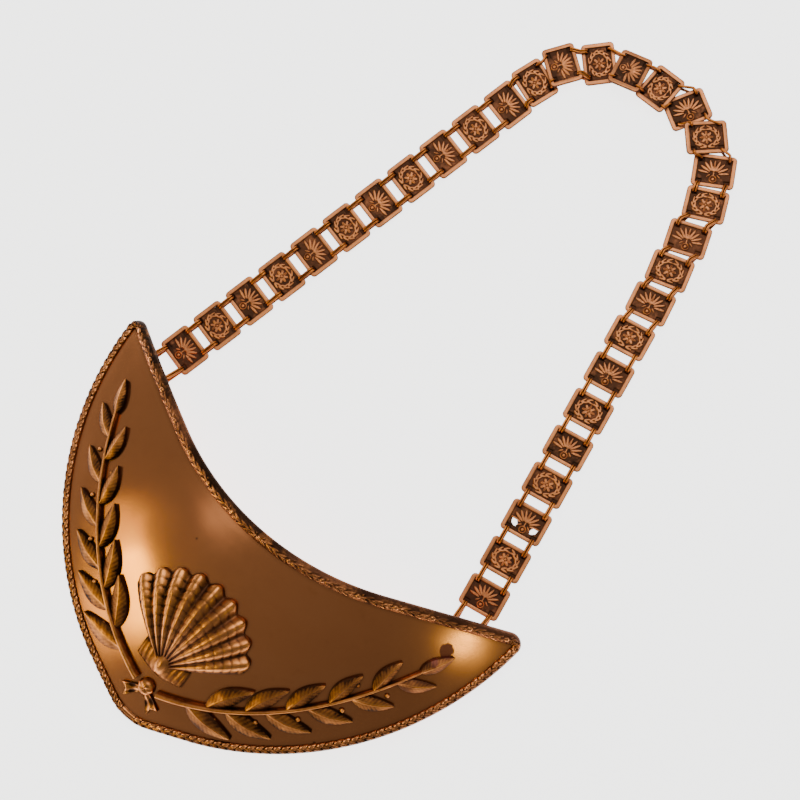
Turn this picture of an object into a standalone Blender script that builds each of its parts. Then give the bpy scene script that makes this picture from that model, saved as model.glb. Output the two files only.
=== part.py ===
"""A ceremonial gorget of antiqued copper, lying face up with its neck chain laid out.

A crescent plate, domed like a slice of a sphere, has rim strips folded over its edge and carries
a scallop shell between two tied laurel sprays, each riveted on from the back. Two bails behind its
horns hold a chain of framed links, joined by pairs of wire rings.

Metres, +Z up. The line of the horns is X, the crescent's point is towards -Y, and the object is
moved at the end so that its bounding box stands centred on the origin.
"""

import math

import bmesh
import bpy
from mathutils import Matrix, Vector
from mathutils.geometry import convex_hull_2d, tessellate_polygon

GAP = 0.0003  # clearance between neighbouring pieces

# The crescent's outline, outside the rim. Each outer edge is an arc, a short straight run and
# its half of the rounded point; the neck is an arc with two straight shoulders.
OUTER_RADIUS = 0.1395
OUTER_CENTRE = Vector((-0.0325, 0.0060))  # of the right-hand edge, mirrored for the left one
POINT_SLOPE = math.radians(24.8)
POINT_RADIUS = 0.0242
NECK_RADIUS = 0.1300
NECK_CENTRE = Vector((0, 0.0966))
NECK_ANGLE = math.radians(23.9)
HORN_RADIUS = 0.0049

# The dome: a cap of a sphere whose base passes under both horns and the point.
CAP_CENTRE_Y = -0.0213
CAP_RADIUS = 0.1094
CAP_HEIGHT = 0.0304
SPHERE_RADIUS = (CAP_RADIUS**2 + CAP_HEIGHT**2) / (2 * CAP_HEIGHT)
CAP_SLOPE = math.asin(CAP_RADIUS / SPHERE_RADIUS)  # at its base

PLATE_THICKNESS = 0.0010
PLATE_INSET = 0.0013  # from the outline to the sheet's own edge
PLATE_COLUMNS = 15  # on each side of the middle
PLATE_ROWS = 4

# A rim strip's section, folded over the edge: how far inside the outline each corner is, and
# how high over the middle of the sheet.
RIM_DEPTH = {"neck": 0.0050, "outer": 0.0036}
RIM_LIP = 0.0007
RIM_CROWN = 0.0023
RIM_BACK = 0.0015
POINT_BAND_ANGLE = math.radians(9)  # half of the plain band over the point
# Height of the cap's base, so that the rim's back stands on the ground.
PLATE_LIFT = RIM_BACK * math.cos(CAP_SLOPE) - RIM_LIP * math.tan(CAP_SLOPE)

# A link of the chain: four bars round a sunk field, a hole in each corner of the field.
LINK_WIDTH = 0.0178
LINK_LENGTH = 0.0139
LINK_THICKNESS = 0.0012
LINK_CORNER = 0.0010
SIDE_BAR = 0.0019
CROSS_BAR = 0.0017
SLOT = Vector((0.0025, 0.0016))  # across and along the chain
FIELD_DEPTH = 0.0005
MOTIF_HEIGHT = 0.0004
MIDDLE_LINK = 16  # past it the figures face the other way, so that both strands' stand upright
PIERCED_LINK = 29

# The wire rings, fused to the crossbar that holds them and loose round the next one.
WIRE = 0.00074
RING_WIDTH = 0.0016  # a ring is two turns of the wire, side by side
STRAIGHT = 0.971  # where the chain bends more than this cosine tells, a ring is one turn
RING_SIDE = LINK_WIDTH / 2 - SIDE_BAR - SLOT.x / 2
BAR_REACH = (LINK_LENGTH - CROSS_BAR) / 2
FUSED_GRIP = Vector((0.00105, 0.00085))  # past the crossbar's middle, and above and below it
LOOSE_GRIP = Vector((0.00182, 0.00152))
RING_BIAS = 0.0020  # how strongly a ring keeps to its link's heading
LINK_REST = LOOSE_GRIP.y + WIRE / 2  # height of a flat link's middle

# How the chain lies: two leaning strands, and a bend where links rest on one another.
LEFT_START, RIGHT_START = Vector((-0.0809, 0.0009)), Vector((0.0819, 0.0022))
LEFT_HEADING, RIGHT_HEADING = math.radians(76.8), math.radians(-79.7)
LEFT_PITCH, RIGHT_PITCH = 0.01707, 0.01738
LEFT_LINKS, RIGHT_LINKS = 11, 8
LIFT_STEP = math.radians(9.5)
# The bend's links: x and y in millimetres, heading in degrees, steps its inner side is lifted.
BEND = [
    (-39.1, 181.5, 71, 0),
    (-34.5, 194.1, 54.5, 1),
    (-23.1, 204.55, 45.5, 0),
    (-10.25, 208.75, 14.5, 2),
    (3.8, 211.2, 0.5, 1),
    (18.1, 211.8, -29.5, 0),
    (31.7, 206.8, -46, 1),
    (43.1, 197.9, -60, 0),
    (49.3, 184.7, -64.5, 0),
    (52.55, 168.9, -69, 0),
    (55.3, 153.9, -73, 0),
    (57.9, 138.3, -77, 0),
]

# The bails under the neck rim.
BAIL_WIRE = 0.0014
BAIL_HALF = 0.0080
BAIL_Z = 0.0048
BAIL_INSET = 0.0024
BAIL_SHOULDER = 0.0838  # how far out along X

# The ornament.
FOOT = PLATE_THICKNESS / 2 + GAP  # its underside, over the middle of the sheet
SHELL_HINGE = Vector((0, -0.1030))
SHELL_REACH = 0.0420
SHELL_SPREAD = math.radians(54)
SHELL_RIBS = 9
SHELL_RISE = 0.0045
RIB_RISE = 0.0011
EAR_RISE = 0.0014
EAR_LIFT = 0.0002  # of the ears' feet, clear of the fan's
# The hinge's rows from the umbo's side upwards, each with its knob's height, and the
# places across a row, each with its share of that height.
HINGE_ROWS = ((-0.1064, 0.0), (-0.1042, 0.0018), (-0.1008, 0.0018), (-0.0962, 0.0))
HINGE_COLUMNS = ((-0.0118, 0), (-0.0048, 0.1), (-0.0022, 0.9), (0.0022, 0.9), (0.0048, 0.1), (0.0118, 0))
SPRAY_CURVE = [Vector((0.0055, -0.1125)), Vector((0.0560, -0.0930)), Vector((0.0840, -0.0320))]
SPRAY_LEAVES = 11
STEM_STEPS = 7
LEAF_LIFTS = (0.00013, 0.00026)  # of the leaves' feet, right and left of the stem
LEAF_LENGTH = 0.0225
LEAF_WIDTH = 0.0078
LEAF_ANGLE = math.radians(26)
KNOT_Y = -0.1130

COPPER = (0.56, 0.29, 0.13, 1.0)
DARK_COPPER = (0.33, 0.17, 0.08, 1.0)


# ------------------------------------------------------------------ general helpers


def clear_scene():
    for obj in list(bpy.data.objects):
        bpy.data.objects.remove(obj)


def metal(name, colour, roughness):
    material = bpy.data.materials.new(name)
    material.use_nodes = True
    shader = material.node_tree.nodes["Principled BSDF"]
    shader.inputs["Base Color"].default_value = colour
    shader.inputs["Metallic"].default_value = 1.0
    shader.inputs["Roughness"].default_value = roughness
    return material


def solid(name, shape):
    """An object from a closed bmesh, its faces turned outwards."""
    bmesh.ops.recalc_face_normals(shape, faces=shape.faces)
    mesh = bpy.data.meshes.new(name)
    shape.to_mesh(mesh)
    shape.free()
    obj = bpy.data.objects.new(name, mesh)
    bpy.context.scene.collection.objects.link(obj)
    return obj


def finished(obj, name, material):
    obj.name = obj.data.name = name
    obj.data.materials.clear()
    obj.data.materials.append(material)
    obj.data.shade_smooth()
    obj.data.set_sharp_from_angle(angle=math.radians(35))
    return obj


def united(base, others):
    """Joins overlapping solids into base, and removes them."""
    for other in others:
        join = base.modifiers.new("join", "BOOLEAN")
        join.operation = "UNION"
        join.solver = "EXACT"
        join.object = other
    graph = bpy.context.evaluated_depsgraph_get()
    whole = bpy.data.meshes.new_from_object(base.evaluated_get(graph))
    base.modifiers.clear()
    base.data = whole
    for other in others:
        bpy.data.objects.remove(other)
    return base


def skin(shape, rings):
    """Quads from each ring of vertices to the next."""
    for lower, upper in zip(rings, rings[1:]):
        for j in range(len(lower)):
            k = (j + 1) % len(lower)
            shape.faces.new((lower[j], lower[k], upper[k], upper[j]))


def tube(name, rings):
    """A solid through rings of points, closed at both ends."""
    shape = bmesh.new()
    rings = [[shape.verts.new(point) for point in ring] for ring in rings]
    skin(shape, rings)
    shape.faces.new(rings[0])
    shape.faces.new(rings[-1])
    return solid(name, shape)


def along(direction, angle):
    return Matrix.Rotation(angle, 2) @ direction


def mirrored(points):
    return [Vector((-p.x, p.y)) for p in points]


def arc(centre, radius, start, end, steps):
    angles = (start + (end - start) * i / steps for i in range(steps + 1))
    return [centre + radius * Vector((math.cos(a), math.sin(a))) for a in angles]


def evenly(points, count):
    """The polyline through points, cut into count equal lengths."""
    lengths = [0.0]
    for a, b in zip(points, points[1:]):
        lengths.append(lengths[-1] + (b - a).length)
    found, i = [], 0
    for k in range(count + 1):
        reach = lengths[-1] * k / count
        while i < len(points) - 2 and lengths[i + 1] < reach:
            i += 1
        share = (reach - lengths[i]) / (lengths[i + 1] - lengths[i])
        found.append(points[i].lerp(points[i + 1], min(share, 1.0)))
    return found


# ------------------------------------------------------------------ outline


def point_centre():
    """Centre of the point's rounding, whose slope meets the outer arcs' own."""
    outward = Vector((math.sin(POINT_SLOPE), -math.cos(POINT_SLOPE)))
    distance = outward.dot(OUTER_CENTRE) + OUTER_RADIUS - POINT_RADIUS
    return Vector((0, distance / outward.y))


def horn_centre():
    """Centre of the right horn's rounding, the same distance inside both of its edges."""
    shoulder = Vector((math.cos(NECK_ANGLE), math.sin(NECK_ANGLE)))
    start = neck_bend(HORN_RADIUS, 1)[-1]
    away = start - OUTER_CENTRE
    reach = OUTER_RADIUS - HORN_RADIUS
    run = away.dot(shoulder)
    return start + shoulder * (math.sqrt(run**2 - away.length_squared + reach**2) - run)


def horn_angles():
    """Directions from the horn's centre to where its outer edge, middle and neck edge start."""
    outward = horn_centre() - OUTER_CENTRE
    outer, neck = math.atan2(outward.y, outward.x), NECK_ANGLE + math.pi / 2
    return outer, (outer + neck) / 2, neck


def neck_bend(inset, steps):
    start = -math.pi / 2
    return arc(NECK_CENTRE, NECK_RADIUS + inset, start, start + NECK_ANGLE, steps)


def neck_half(inset, bend_steps=5, shoulder_steps=4, horn_steps=2):
    """From the middle of the neck to the middle of the right horn's rounding."""
    bend = neck_bend(inset, bend_steps)
    _, middle, neck = horn_angles()
    horn = arc(horn_centre(), HORN_RADIUS - inset, neck, middle, horn_steps)
    shoulder = [bend[-1].lerp(horn[0], i / shoulder_steps) for i in range(1, shoulder_steps)]
    return bend + shoulder + horn


def point_rounding(inset, start, end, steps):
    """Part of the rounded point, by angles away from its middle."""
    down = -math.pi / 2
    return arc(point_centre(), POINT_RADIUS - inset, down + start, down + end, steps)


def outer_half(inset, start=0.0, point_steps=2, arc_steps=11, horn_steps=2):
    """From the crescent's point to the middle of the right horn's rounding."""
    outer, middle, _ = horn_angles()
    point = point_rounding(inset, start, POINT_SLOPE, point_steps)
    edge = arc(OUTER_CENTRE, OUTER_RADIUS - inset, POINT_SLOPE - math.pi / 2, outer, arc_steps)
    horn = arc(horn_centre(), HORN_RADIUS - inset, outer, middle, horn_steps)
    return point + edge + horn[1:]


# ------------------------------------------------------------------ dome


def on_dome(place, height=0.0):
    """The point this far over the sheet's middle surface, square to it."""
    across = Vector((place.x, place.y - CAP_CENTRE_Y))
    drop = math.sqrt(SPHERE_RADIUS**2 - across.length_squared)
    normal = Vector((across.x, across.y, drop)) / SPHERE_RADIUS
    surface = Vector((place.x, place.y, drop - SPHERE_RADIUS + CAP_HEIGHT + PLATE_LIFT))
    return surface + normal * height


def underside(place, depth):
    """Height, straight under or over a place, of the surface this deep below the sheet's middle."""
    across = Vector((place.x, place.y - CAP_CENTRE_Y))
    drop = math.sqrt((SPHERE_RADIUS - depth) ** 2 - across.length_squared)
    return drop - SPHERE_RADIUS + CAP_HEIGHT + PLATE_LIFT


def plate(material):
    """The domed sheet: columns cross it from its neck edge to its outer edge."""
    neck = evenly(neck_half(PLATE_INSET, 24, 24, 8), PLATE_COLUMNS)
    outer = evenly(outer_half(PLATE_INSET, 0.0, 8, 64, 8), PLATE_COLUMNS)
    neck = mirrored(neck[:0:-1]) + neck
    outer = mirrored(outer[:0:-1]) + outer
    shape = bmesh.new()
    faces = []
    for height in (PLATE_THICKNESS / 2, -PLATE_THICKNESS / 2):
        columns = []
        for a, b in zip(neck[1:-1], outer[1:-1]):
            shares = [row / PLATE_ROWS for row in range(PLATE_ROWS + 1)]
            columns.append([shape.verts.new(on_dome(a.lerp(b, s), height)) for s in shares])
        horns = [shape.verts.new(on_dome(neck[end], height)) for end in (0, -1)]
        faces.append((columns, horns))
        for left, right in zip(columns, columns[1:]):
            for j in range(PLATE_ROWS):
                shape.faces.new((left[j], right[j], right[j + 1], left[j + 1]))
        for horn, column in zip(horns, (columns[0], columns[-1])):
            for j in range(PLATE_ROWS):
                shape.faces.new((horn, column[j], column[j + 1]))
    skin(shape, [edge_loop(*face) for face in faces])
    return finished(solid("plate", shape), "plate", material)


def edge_loop(columns, horns):
    """The sheet's boundary vertices, from one horn along the neck and back round the point."""
    neck = [column[0] for column in columns]
    outer = [column[-1] for column in reversed(columns)]
    return [horns[0]] + neck + [horns[1]] + outer


# ------------------------------------------------------------------ rim


def rim_section(depth):
    """Corners of the folded strip as (inset, height), from its front lip round to its back."""
    inner, face = PLATE_INSET - GAP, PLATE_THICKNESS / 2 + GAP
    return [
        (depth, face),
        (depth * 0.55, RIM_CROWN),
        (RIM_LIP, face + RIM_LIP),
        (0.0, 0.0),
        (RIM_LIP, -RIM_BACK),
        (depth - 0.0005, -RIM_BACK),
        (depth - 0.0005, -face),
        (inner, -face),
        (inner, face),
    ]


def rim_strip(name, line_at, section, material):
    """The section carried along the outline; line_at gives the line at an inset."""
    lines = [line_at(inset) for inset, _ in section]
    for line in lines:
        first, last = line[1] - line[0], line[-2] - line[-1]
        line[0] = line[0] + first.normalized() * GAP / 2
        line[-1] = line[-1] + last.normalized() * GAP / 2
    heights = [height for _, height in section]
    rings = [[on_dome(p, h) for p, h in zip(places, heights)] for places in zip(*lines)]
    return finished(tube(name, rings), name, material)


def rims(material):
    def neck(inset):
        half = neck_half(inset)
        return mirrored(half[:0:-1]) + half

    def right(inset):
        return outer_half(inset, POINT_BAND_ANGLE)

    def left(inset):
        return mirrored(right(inset))

    def band(inset):
        return point_rounding(inset, -POINT_BAND_ANGLE, POINT_BAND_ANGLE, 2)

    outer = rim_section(RIM_DEPTH["outer"])
    rim_strip("rim_neck", neck, rim_section(RIM_DEPTH["neck"]), material)
    rim_strip("rim_left", left, outer, material)
    rim_strip("rim_right", right, outer, material)
    rim_strip("rim_point_band", band, outer, material)


# ------------------------------------------------------------------ ornament


def relief(name, grid, foot_height=FOOT):
    """A solid on the dome: a grid of (place, height) on top, the same places at its foot."""
    shape = bmesh.new()
    top = [[shape.verts.new(on_dome(p, h)) for p, h in row] for row in grid]
    foot = [[shape.verts.new(on_dome(p, foot_height)) for p, _ in row] for row in grid]
    for rows in (top, foot):
        for a, b in zip(rows, rows[1:]):
            for j in range(len(a) - 1):
                shape.faces.new((a[j], a[j + 1], b[j + 1], b[j]))
    skin(shape, [border(rows) for rows in (top, foot)])
    return solid(name, shape)


def border(rows):
    """The outer vertices of a grid, in order."""
    right = [row[-1] for row in rows[1:-1]]
    left = [row[0] for row in rows[1:-1]]
    return rows[0] + right + rows[-1][::-1] + left[::-1]


def hinge():
    """The shell's two ears, and the knob between them that its ribs run out from."""
    rows = []
    for y, height in HINGE_ROWS:
        row = []
        for x, share in HINGE_COLUMNS:
            row.append((Vector((x, y)), FOOT + EAR_RISE + height * share))
        rows.append(row)
    return relief("hinge", rows, FOOT + EAR_LIFT)


def shell(material):
    """A scallop: ribs fan out from the hinge, and the whole is crowned in the middle."""
    columns = 2 * SHELL_RIBS
    grid = []
    for share, crown in ((0.12, 0.25), (0.38, 0.85), (0.68, 1.0), (0.90, 0.55), (1.0, 0.05)):
        row = []
        for k in range(columns + 1):
            across = 2 * k / columns - 1
            rib = k % 2
            reach = SHELL_REACH * share * (1 - 0.12 * across**2)
            reach *= 1.0 if rib else 1.0 - 0.05 * share
            angle = SHELL_SPREAD * across
            place = SHELL_HINGE + Vector((math.sin(angle), math.cos(angle))) * reach
            height = FOOT + 0.0008 + SHELL_RISE * crown * math.cos(angle) + RIB_RISE * rib * share
            row.append((place, height))
        grid.append(row)
    return finished(united(relief("fan", grid), [hinge()]), "shell", material)


def stem_place(share):
    a, b, c = SPRAY_CURVE
    return a * (1 - share) ** 2 + b * 2 * share * (1 - share) + c * share**2


def stem_heading(share):
    a, b, c = SPRAY_CURVE
    return ((b - a) * (1 - share) + (c - b) * share).normalized()


def blade(share, turn, size, side, lift):
    """A lance-shaped leaf with a raised midrib, from a place on the stem.

    side -1 mirrors it to the left spray. Its foot is lifted clear of its neighbours' feet.
    """
    start, heading = stem_place(share), along(stem_heading(share), turn)
    across = along(heading, math.pi / 2) * LEAF_WIDTH * size / 2
    rows = []
    for reach, spread, rise in ((0.0, 0.2, 0.0012), (0.42, 1.0, 0.0019), (1.0, 0.08, 0.0009)):
        centre = start + heading * LEAF_LENGTH * size * reach
        row = [(centre - across * spread, 0.0006), (centre, rise), (centre + across * spread, 0.0006)]
        rows.append([(Vector((p.x * side, p.y)), FOOT + h) for p, h in row])
    return relief("leaf", rows, FOOT + lift)


def stem(side):
    rows = []
    for k in range(STEM_STEPS + 1):
        share = k / STEM_STEPS
        centre, heading = stem_place(share), stem_heading(share)
        half = along(heading, math.pi / 2) * (0.0015 - 0.0007 * share)
        row = [(centre - half, 0.0009), (centre + half, 0.0009)]
        rows.append([(Vector((p.x * side, p.y)), FOOT + h) for p, h in row])
    return relief("stem", rows)


def spray(name, side, material):
    """A laurel branch: leaves by turns on each side of its stem, and one at the end."""
    leaves = []
    for k in range(SPRAY_LEAVES):
        up = k / (SPRAY_LEAVES - 1)
        turn = LEAF_ANGLE if k % 2 else -LEAF_ANGLE
        leaves.append(blade(0.12 + 0.76 * up, turn, 1.0 - 0.3 * up, side, LEAF_LIFTS[k % 2]))
    leaves.append(blade(0.96, 0.0, 0.65, side, LEAF_LIFTS[1] + LEAF_LIFTS[0]))
    return finished(united(stem(side), leaves), name, material)


def ribbon(material):
    """The tie at the point: a round knot and its two tails."""
    tails = []
    for side in (1, -1):
        rows = []
        for share, half in ((0.0, 0.0012), (0.5, 0.0016), (1.0, 0.0024)):
            centre = Vector((side * (0.0008 + 0.0070 * share), KNOT_Y - 0.0015 - 0.0055 * share))
            edge = Vector((side * half * 0.6, half * 0.8))
            rows.append([(centre - edge, FOOT + 0.0009), (centre + edge, FOOT + 0.0009)])
        tails.append(relief("tail", rows))
    rings = []
    for size, height in ((1.0, 0.0), (1.0, 0.0014), (0.6, 0.0026)):
        outline = arc(Vector((0, KNOT_Y)), 0.0038 * size, 0, 2 * math.pi * 7 / 8, 7)
        rings.append([on_dome(place, FOOT + height) for place in outline])
    return finished(united(tube("knot", rings), tails), "ribbon", material)


# ------------------------------------------------------------------ chain layout


def strand(start, heading, pitch, count):
    """(place, heading, lift) of links laid in a straight line."""
    run = Vector((math.cos(heading), math.sin(heading)))
    return [(start + run * pitch * k, heading, 0) for k in range(count)]


def link_places():
    """(place, heading, lift) of every link, from the left horn round to the right one."""
    left = strand(LEFT_START, LEFT_HEADING, LEFT_PITCH, LEFT_LINKS)
    right = strand(RIGHT_START, RIGHT_HEADING + math.pi, RIGHT_PITCH, RIGHT_LINKS)
    bend = [(Vector((x, y)) / 1000, math.radians(turn), lift) for x, y, turn, lift in BEND]
    return left + bend + [(place, RIGHT_HEADING, lift) for place, _, lift in reversed(right)]


def link_matrices():
    """Each link's +Y runs along the chain; a lifted link tilts up about its outer side bar."""
    found = []
    hinge = Matrix.Translation((-LINK_WIDTH / 2, 0, -LINK_THICKNESS / 2))
    for place, heading, lift in link_places():
        spot = Matrix.Translation((place.x, place.y, LINK_REST))
        turn = Matrix.Rotation(heading - math.pi / 2, 4, "Z")
        tilt = Matrix.Rotation(-lift * LIFT_STEP, 4, "Y")
        found.append(spot @ turn @ hinge @ tilt @ hinge.inverted())
    return found


# ------------------------------------------------------------------ links and bails


def box_corners(half_x, half_y, centre=(0, 0)):
    corners = ((half_x, -half_y), (half_x, half_y), (-half_x, half_y), (-half_x, -half_y))
    return [Vector((centre[0] + x, centre[1] + y)) for x, y in corners]


def rosette():
    return arc(Vector((0, 0)), 0.0036, 0, 2 * math.pi * 7 / 8, 7)


def fan():
    spread = [math.radians(90 + 32 * k) for k in (-2, -1, 0, 1, 2)]
    lobes = [Vector((0.0044 * math.cos(a), 0.0066 * math.sin(a) - 0.0032)) for a in spread]
    return lobes + [Vector((-0.0009, -0.0037)), Vector((0.0009, -0.0037))]


def slot_side(way):
    """One side of a slot, from its corner of the field."""
    return way * abs(way.dot(SLOT))


def link_mesh(motif, holes):
    """A link without its rings. motif is the foot of its raised figure, holes pierce its field."""
    half_x, half_y, half_z = LINK_WIDTH / 2, LINK_LENGTH / 2, LINK_THICKNESS / 2
    floor = half_z - FIELD_DEPTH
    field = box_corners(half_x - SIDE_BAR, half_y - CROSS_BAR)
    shape = bmesh.new()
    known = {}

    def at(place, z):
        key = (round(place.x, 7), round(place.y, 7), round(z, 7))
        if key not in known:
            known[key] = shape.verts.new((place.x, place.y, z))
        return known[key]

    def face(*corners):
        shape.faces.new([at(place, z) for place, z in corners])

    def wall(line, low, high):
        for a, b in zip(line, line[1:] + line[:1]):
            face((a, low), (b, low), (b, high), (a, high))

    def sheet(loops, z):
        places = [place for loop in loops for place in loop]
        flat = [[Vector((p.x, p.y, 0)) for p in loop] for loop in loops]
        for triangle in tessellate_polygon(flat):
            face(*((places[index], z) for index in triangle))

    outline, plus = [], []
    for j, corner in enumerate(field):
        onward = (field[(j + 1) % 4] - corner).normalized()
        inward = (field[j - 1] - corner).normalized()
        outer = box_corners(half_x, half_y)[j]
        outline += [outer + inward * LINK_CORNER, outer + onward * LINK_CORNER]
        back, forth = slot_side(inward), slot_side(onward)
        plus += [corner + back, corner + back + forth, corner + forth]
    wall(outline, -half_z, half_z)
    for j in range(4):
        a, b = field[j], field[(j + 1) % 4]
        outer_a, outer_b = outline[2 * j + 1], outline[(2 * j + 2) % 8]
        slot_a, slot_b = plus[3 * j + 2], plus[(3 * j + 3) % 12]
        face((outer_a, half_z), (outer_b, half_z), (b, half_z), (a, half_z))
        face((outline[2 * j], half_z), (outer_a, half_z), (a, half_z))
        low = -half_z
        face((outer_a, low), (outer_b, low), (b, low), (slot_b, low), (slot_a, low), (a, low))
        face((outline[2 * j], low), (outer_a, low), (a, low))
        bar_side = [(a, low), (a, half_z), (b, half_z), (b, low), (slot_b, low)]
        face(*bar_side, (slot_b, floor), (slot_a, floor), (slot_a, low))
        slot_walls = plus[3 * j : 3 * j + 3]
        for c, d in zip(slot_walls, slot_walls[1:]):
            face((c, low), (d, low), (d, floor), (c, floor))
    sheet([plus, motif] + holes, floor)
    sheet([plus] + holes, -half_z)
    for hole in holes:
        wall(hole, -half_z, floor)
    crest = [place * 0.8 for place in motif]
    for j, place in enumerate(motif):
        k = (j + 1) % len(motif)
        ledge = [(place, floor), (motif[k], floor)]
        face(*ledge, (crest[k], floor + MOTIF_HEIGHT), (crest[j], floor + MOTIF_HEIGHT))
    face(*((place, floor + MOTIF_HEIGHT) for place in crest))
    return shape


def ring(held, loose):
    """A wire loop standing on edge round two crossbars, each a (place, heading); tight on the first."""
    run = (loose[0] - held[0]).xy.to_3d() + (held[1] + loose[1]) * RING_BIAS
    run.normalize()
    width = RING_WIDTH if held[1].dot(loose[1]) > STRAIGHT else WIRE
    up = Vector((0, 0, 1))
    lowest = min(held[0].z, loose[0].z) - LOOSE_GRIP.y
    spots, flat = [], []
    for (centre, heading), grip in ((held, FUSED_GRIP), (loose, LOOSE_GRIP)):
        for reach, height in ((1, 0), (0.6, grip.y), (0.6, lowest - centre.z)):
            for end in (-reach, reach):
                spots.append(centre + heading * end * grip.x + up * height)
                flat.append(Vector((spots[-1].dot(run), spots[-1].z)))
    path = [spots[i] for i in convex_hull_2d(flat)]
    shape = bmesh.new()
    sections = []
    middle = sum(path, Vector()) / len(path)
    for k, place in enumerate(path):
        tangent = (place - path[k - 1]).normalized() + (path[(k + 1) % len(path)] - place).normalized()
        across = tangent.cross(place - middle).normalized()
        outward = across.cross(tangent).normalized()
        corners = ((1, 1), (1, -1), (-1, -1), (-1, 1))
        spots = (place + (outward * i * WIRE + across * j * width) / 2 for i, j in corners)
        sections.append([shape.verts.new(spot) for spot in spots])
    skin(shape, sections + sections[:1])
    return solid("ring", shape)


def bar_spots(matrix, end):
    """Where rings go round a link's crossbar: two places, each with the link's heading."""
    heading = (matrix.to_3x3() @ Vector((0, 1, 0))).normalized()
    return [(matrix @ Vector((side * RING_SIDE, end * BAR_REACH, 0)), heading) for side in (-1, 1)]


def reverse(spot):
    """The same place on a crossbar, seen from the chain's other end."""
    place, heading = spot
    return place, -heading


def bail_frame(side):
    """Middle and direction of the bail behind the right (1) or left (-1) horn."""
    shoulder = Vector((math.cos(NECK_ANGLE), math.sin(NECK_ANGLE)))
    start = neck_bend(BAIL_INSET, 1)[-1]
    middle = start + shoulder * (BAIL_SHOULDER - start.x) / shoulder.x
    return Vector((side * middle.x, middle.y, BAIL_Z)), Vector((shoulder.x, side * shoulder.y, 0))


def bail_spots(side):
    """Where rings go round a bail, each with the direction the chain runs there."""
    middle, run = bail_frame(side)
    onward = run.cross(Vector((0, 0, side)))
    return [(middle + run * RING_SIDE * end * -side, onward) for end in (-1, 1)]


def bail(name, side, material):
    """A staple of square wire: a bar, and two legs up to the back of the rim."""
    middle, run = bail_frame(side)
    half = BAIL_WIRE / 2
    cross = run.cross(Vector((0, 0, 1)))
    rings = []
    for end in (-1, 1):
        knee, top = [], []
        for a, b in ((-1, -1), (-1, 1), (1, 1), (1, -1)):
            spot = middle + run * end * (BAIL_HALF + a * half) + cross * b * half
            knee.append(Vector((spot.x, spot.y, BAIL_Z - a * half)))
            top.append(Vector((spot.x, spot.y, underside(spot, RIM_BACK + GAP))))
        rings += [top, knee] if end < 0 else [knee, top]
    return finished(tube(name, rings), name, material)


def joint_rings(matrices):
    """Two rings for each joint, listed by the link that holds them: the one that lies higher."""
    lifts = [lift for _, _, lift in link_places()]
    owned = {number: [] for number in range(1, len(matrices) + 1)}
    for number, (matrix, onward) in enumerate(zip(matrices, matrices[1:]), 1):
        pairs = list(zip(bar_spots(matrix, 1), bar_spots(onward, -1)))
        if lifts[number] > lifts[number - 1]:
            owned[number + 1] += [ring(reverse(b), reverse(a)) for a, b in pairs]
        else:
            owned[number] += [ring(a, b) for a, b in pairs]
    first, last = bar_spots(matrices[0], -1), bar_spots(matrices[-1], 1)
    owned[1] += [ring(reverse(a), reverse(b)) for a, b in zip(first, bail_spots(-1))]
    owned[len(matrices)] += [ring(a, b) for a, b in zip(last, bail_spots(1))]
    return owned


def faced(loop, number):
    """A figure's outline, turned to face the way the figures of that part of the chain face."""
    return [-place for place in loop] if number > MIDDLE_LINK else loop


def piercings():
    """The outlines of the two holes beside the foot of the fan."""
    spots = ((3.8, -0.8), (5.9, -0.8), (5.5, -2.6), (4.3, -3.4), (3.3, -3.5), (2.9, -2.2))
    right = [Vector(spot) / 1000 for spot in spots]
    return [right, mirrored(right[::-1])]


def chain(material):
    motifs = (rosette(), fan())
    matrices = link_matrices()
    rings = joint_rings(matrices)
    for number, matrix in enumerate(matrices, 1):
        holes = piercings() if number == PIERCED_LINK else []
        holes = [faced(hole, number) for hole in holes]
        body = solid("link", link_mesh(faced(motifs[number % 2], number), holes))
        body.data.transform(matrix)
        finished(united(body, rings[number]), f"link_{number:02d}", material)


def stand_on_origin():
    """Moves the model so that its bounding box is centred over the origin, its lowest point at 0."""
    corners = [obj.matrix_world @ v.co for obj in bpy.data.objects for v in obj.data.vertices]
    low = [min(c[i] for c in corners) for i in range(3)]
    high = [max(c[i] for c in corners) for i in range(3)]
    move = Matrix.Translation((-(low[0] + high[0]) / 2, -(low[1] + high[1]) / 2, -low[2]))
    for obj in bpy.data.objects:
        obj.data.transform(move)


def build():
    clear_scene()
    copper = metal("antiqued_copper", COPPER, 0.36)
    dark = metal("darkened_copper", DARK_COPPER, 0.5)
    plate(copper)
    rims(dark)
    shell(copper)
    spray("spray_left", -1, copper)
    spray("spray_right", 1, copper)
    ribbon(copper)
    bail("bail_left", -1, dark)
    bail("bail_right", 1, dark)
    chain(copper)
    stand_on_origin()


build()
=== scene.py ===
"""Looks for the gorget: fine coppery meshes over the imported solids, one each and two for a link.

The formulas for the outline, the dome, the ornament and the chain are those of the part's source,
in its own metres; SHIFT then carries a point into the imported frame.
"""

import math

import bmesh
import bpy
import numpy as np
from mathutils import Matrix, Vector
from mathutils.geometry import convex_hull_2d


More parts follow.
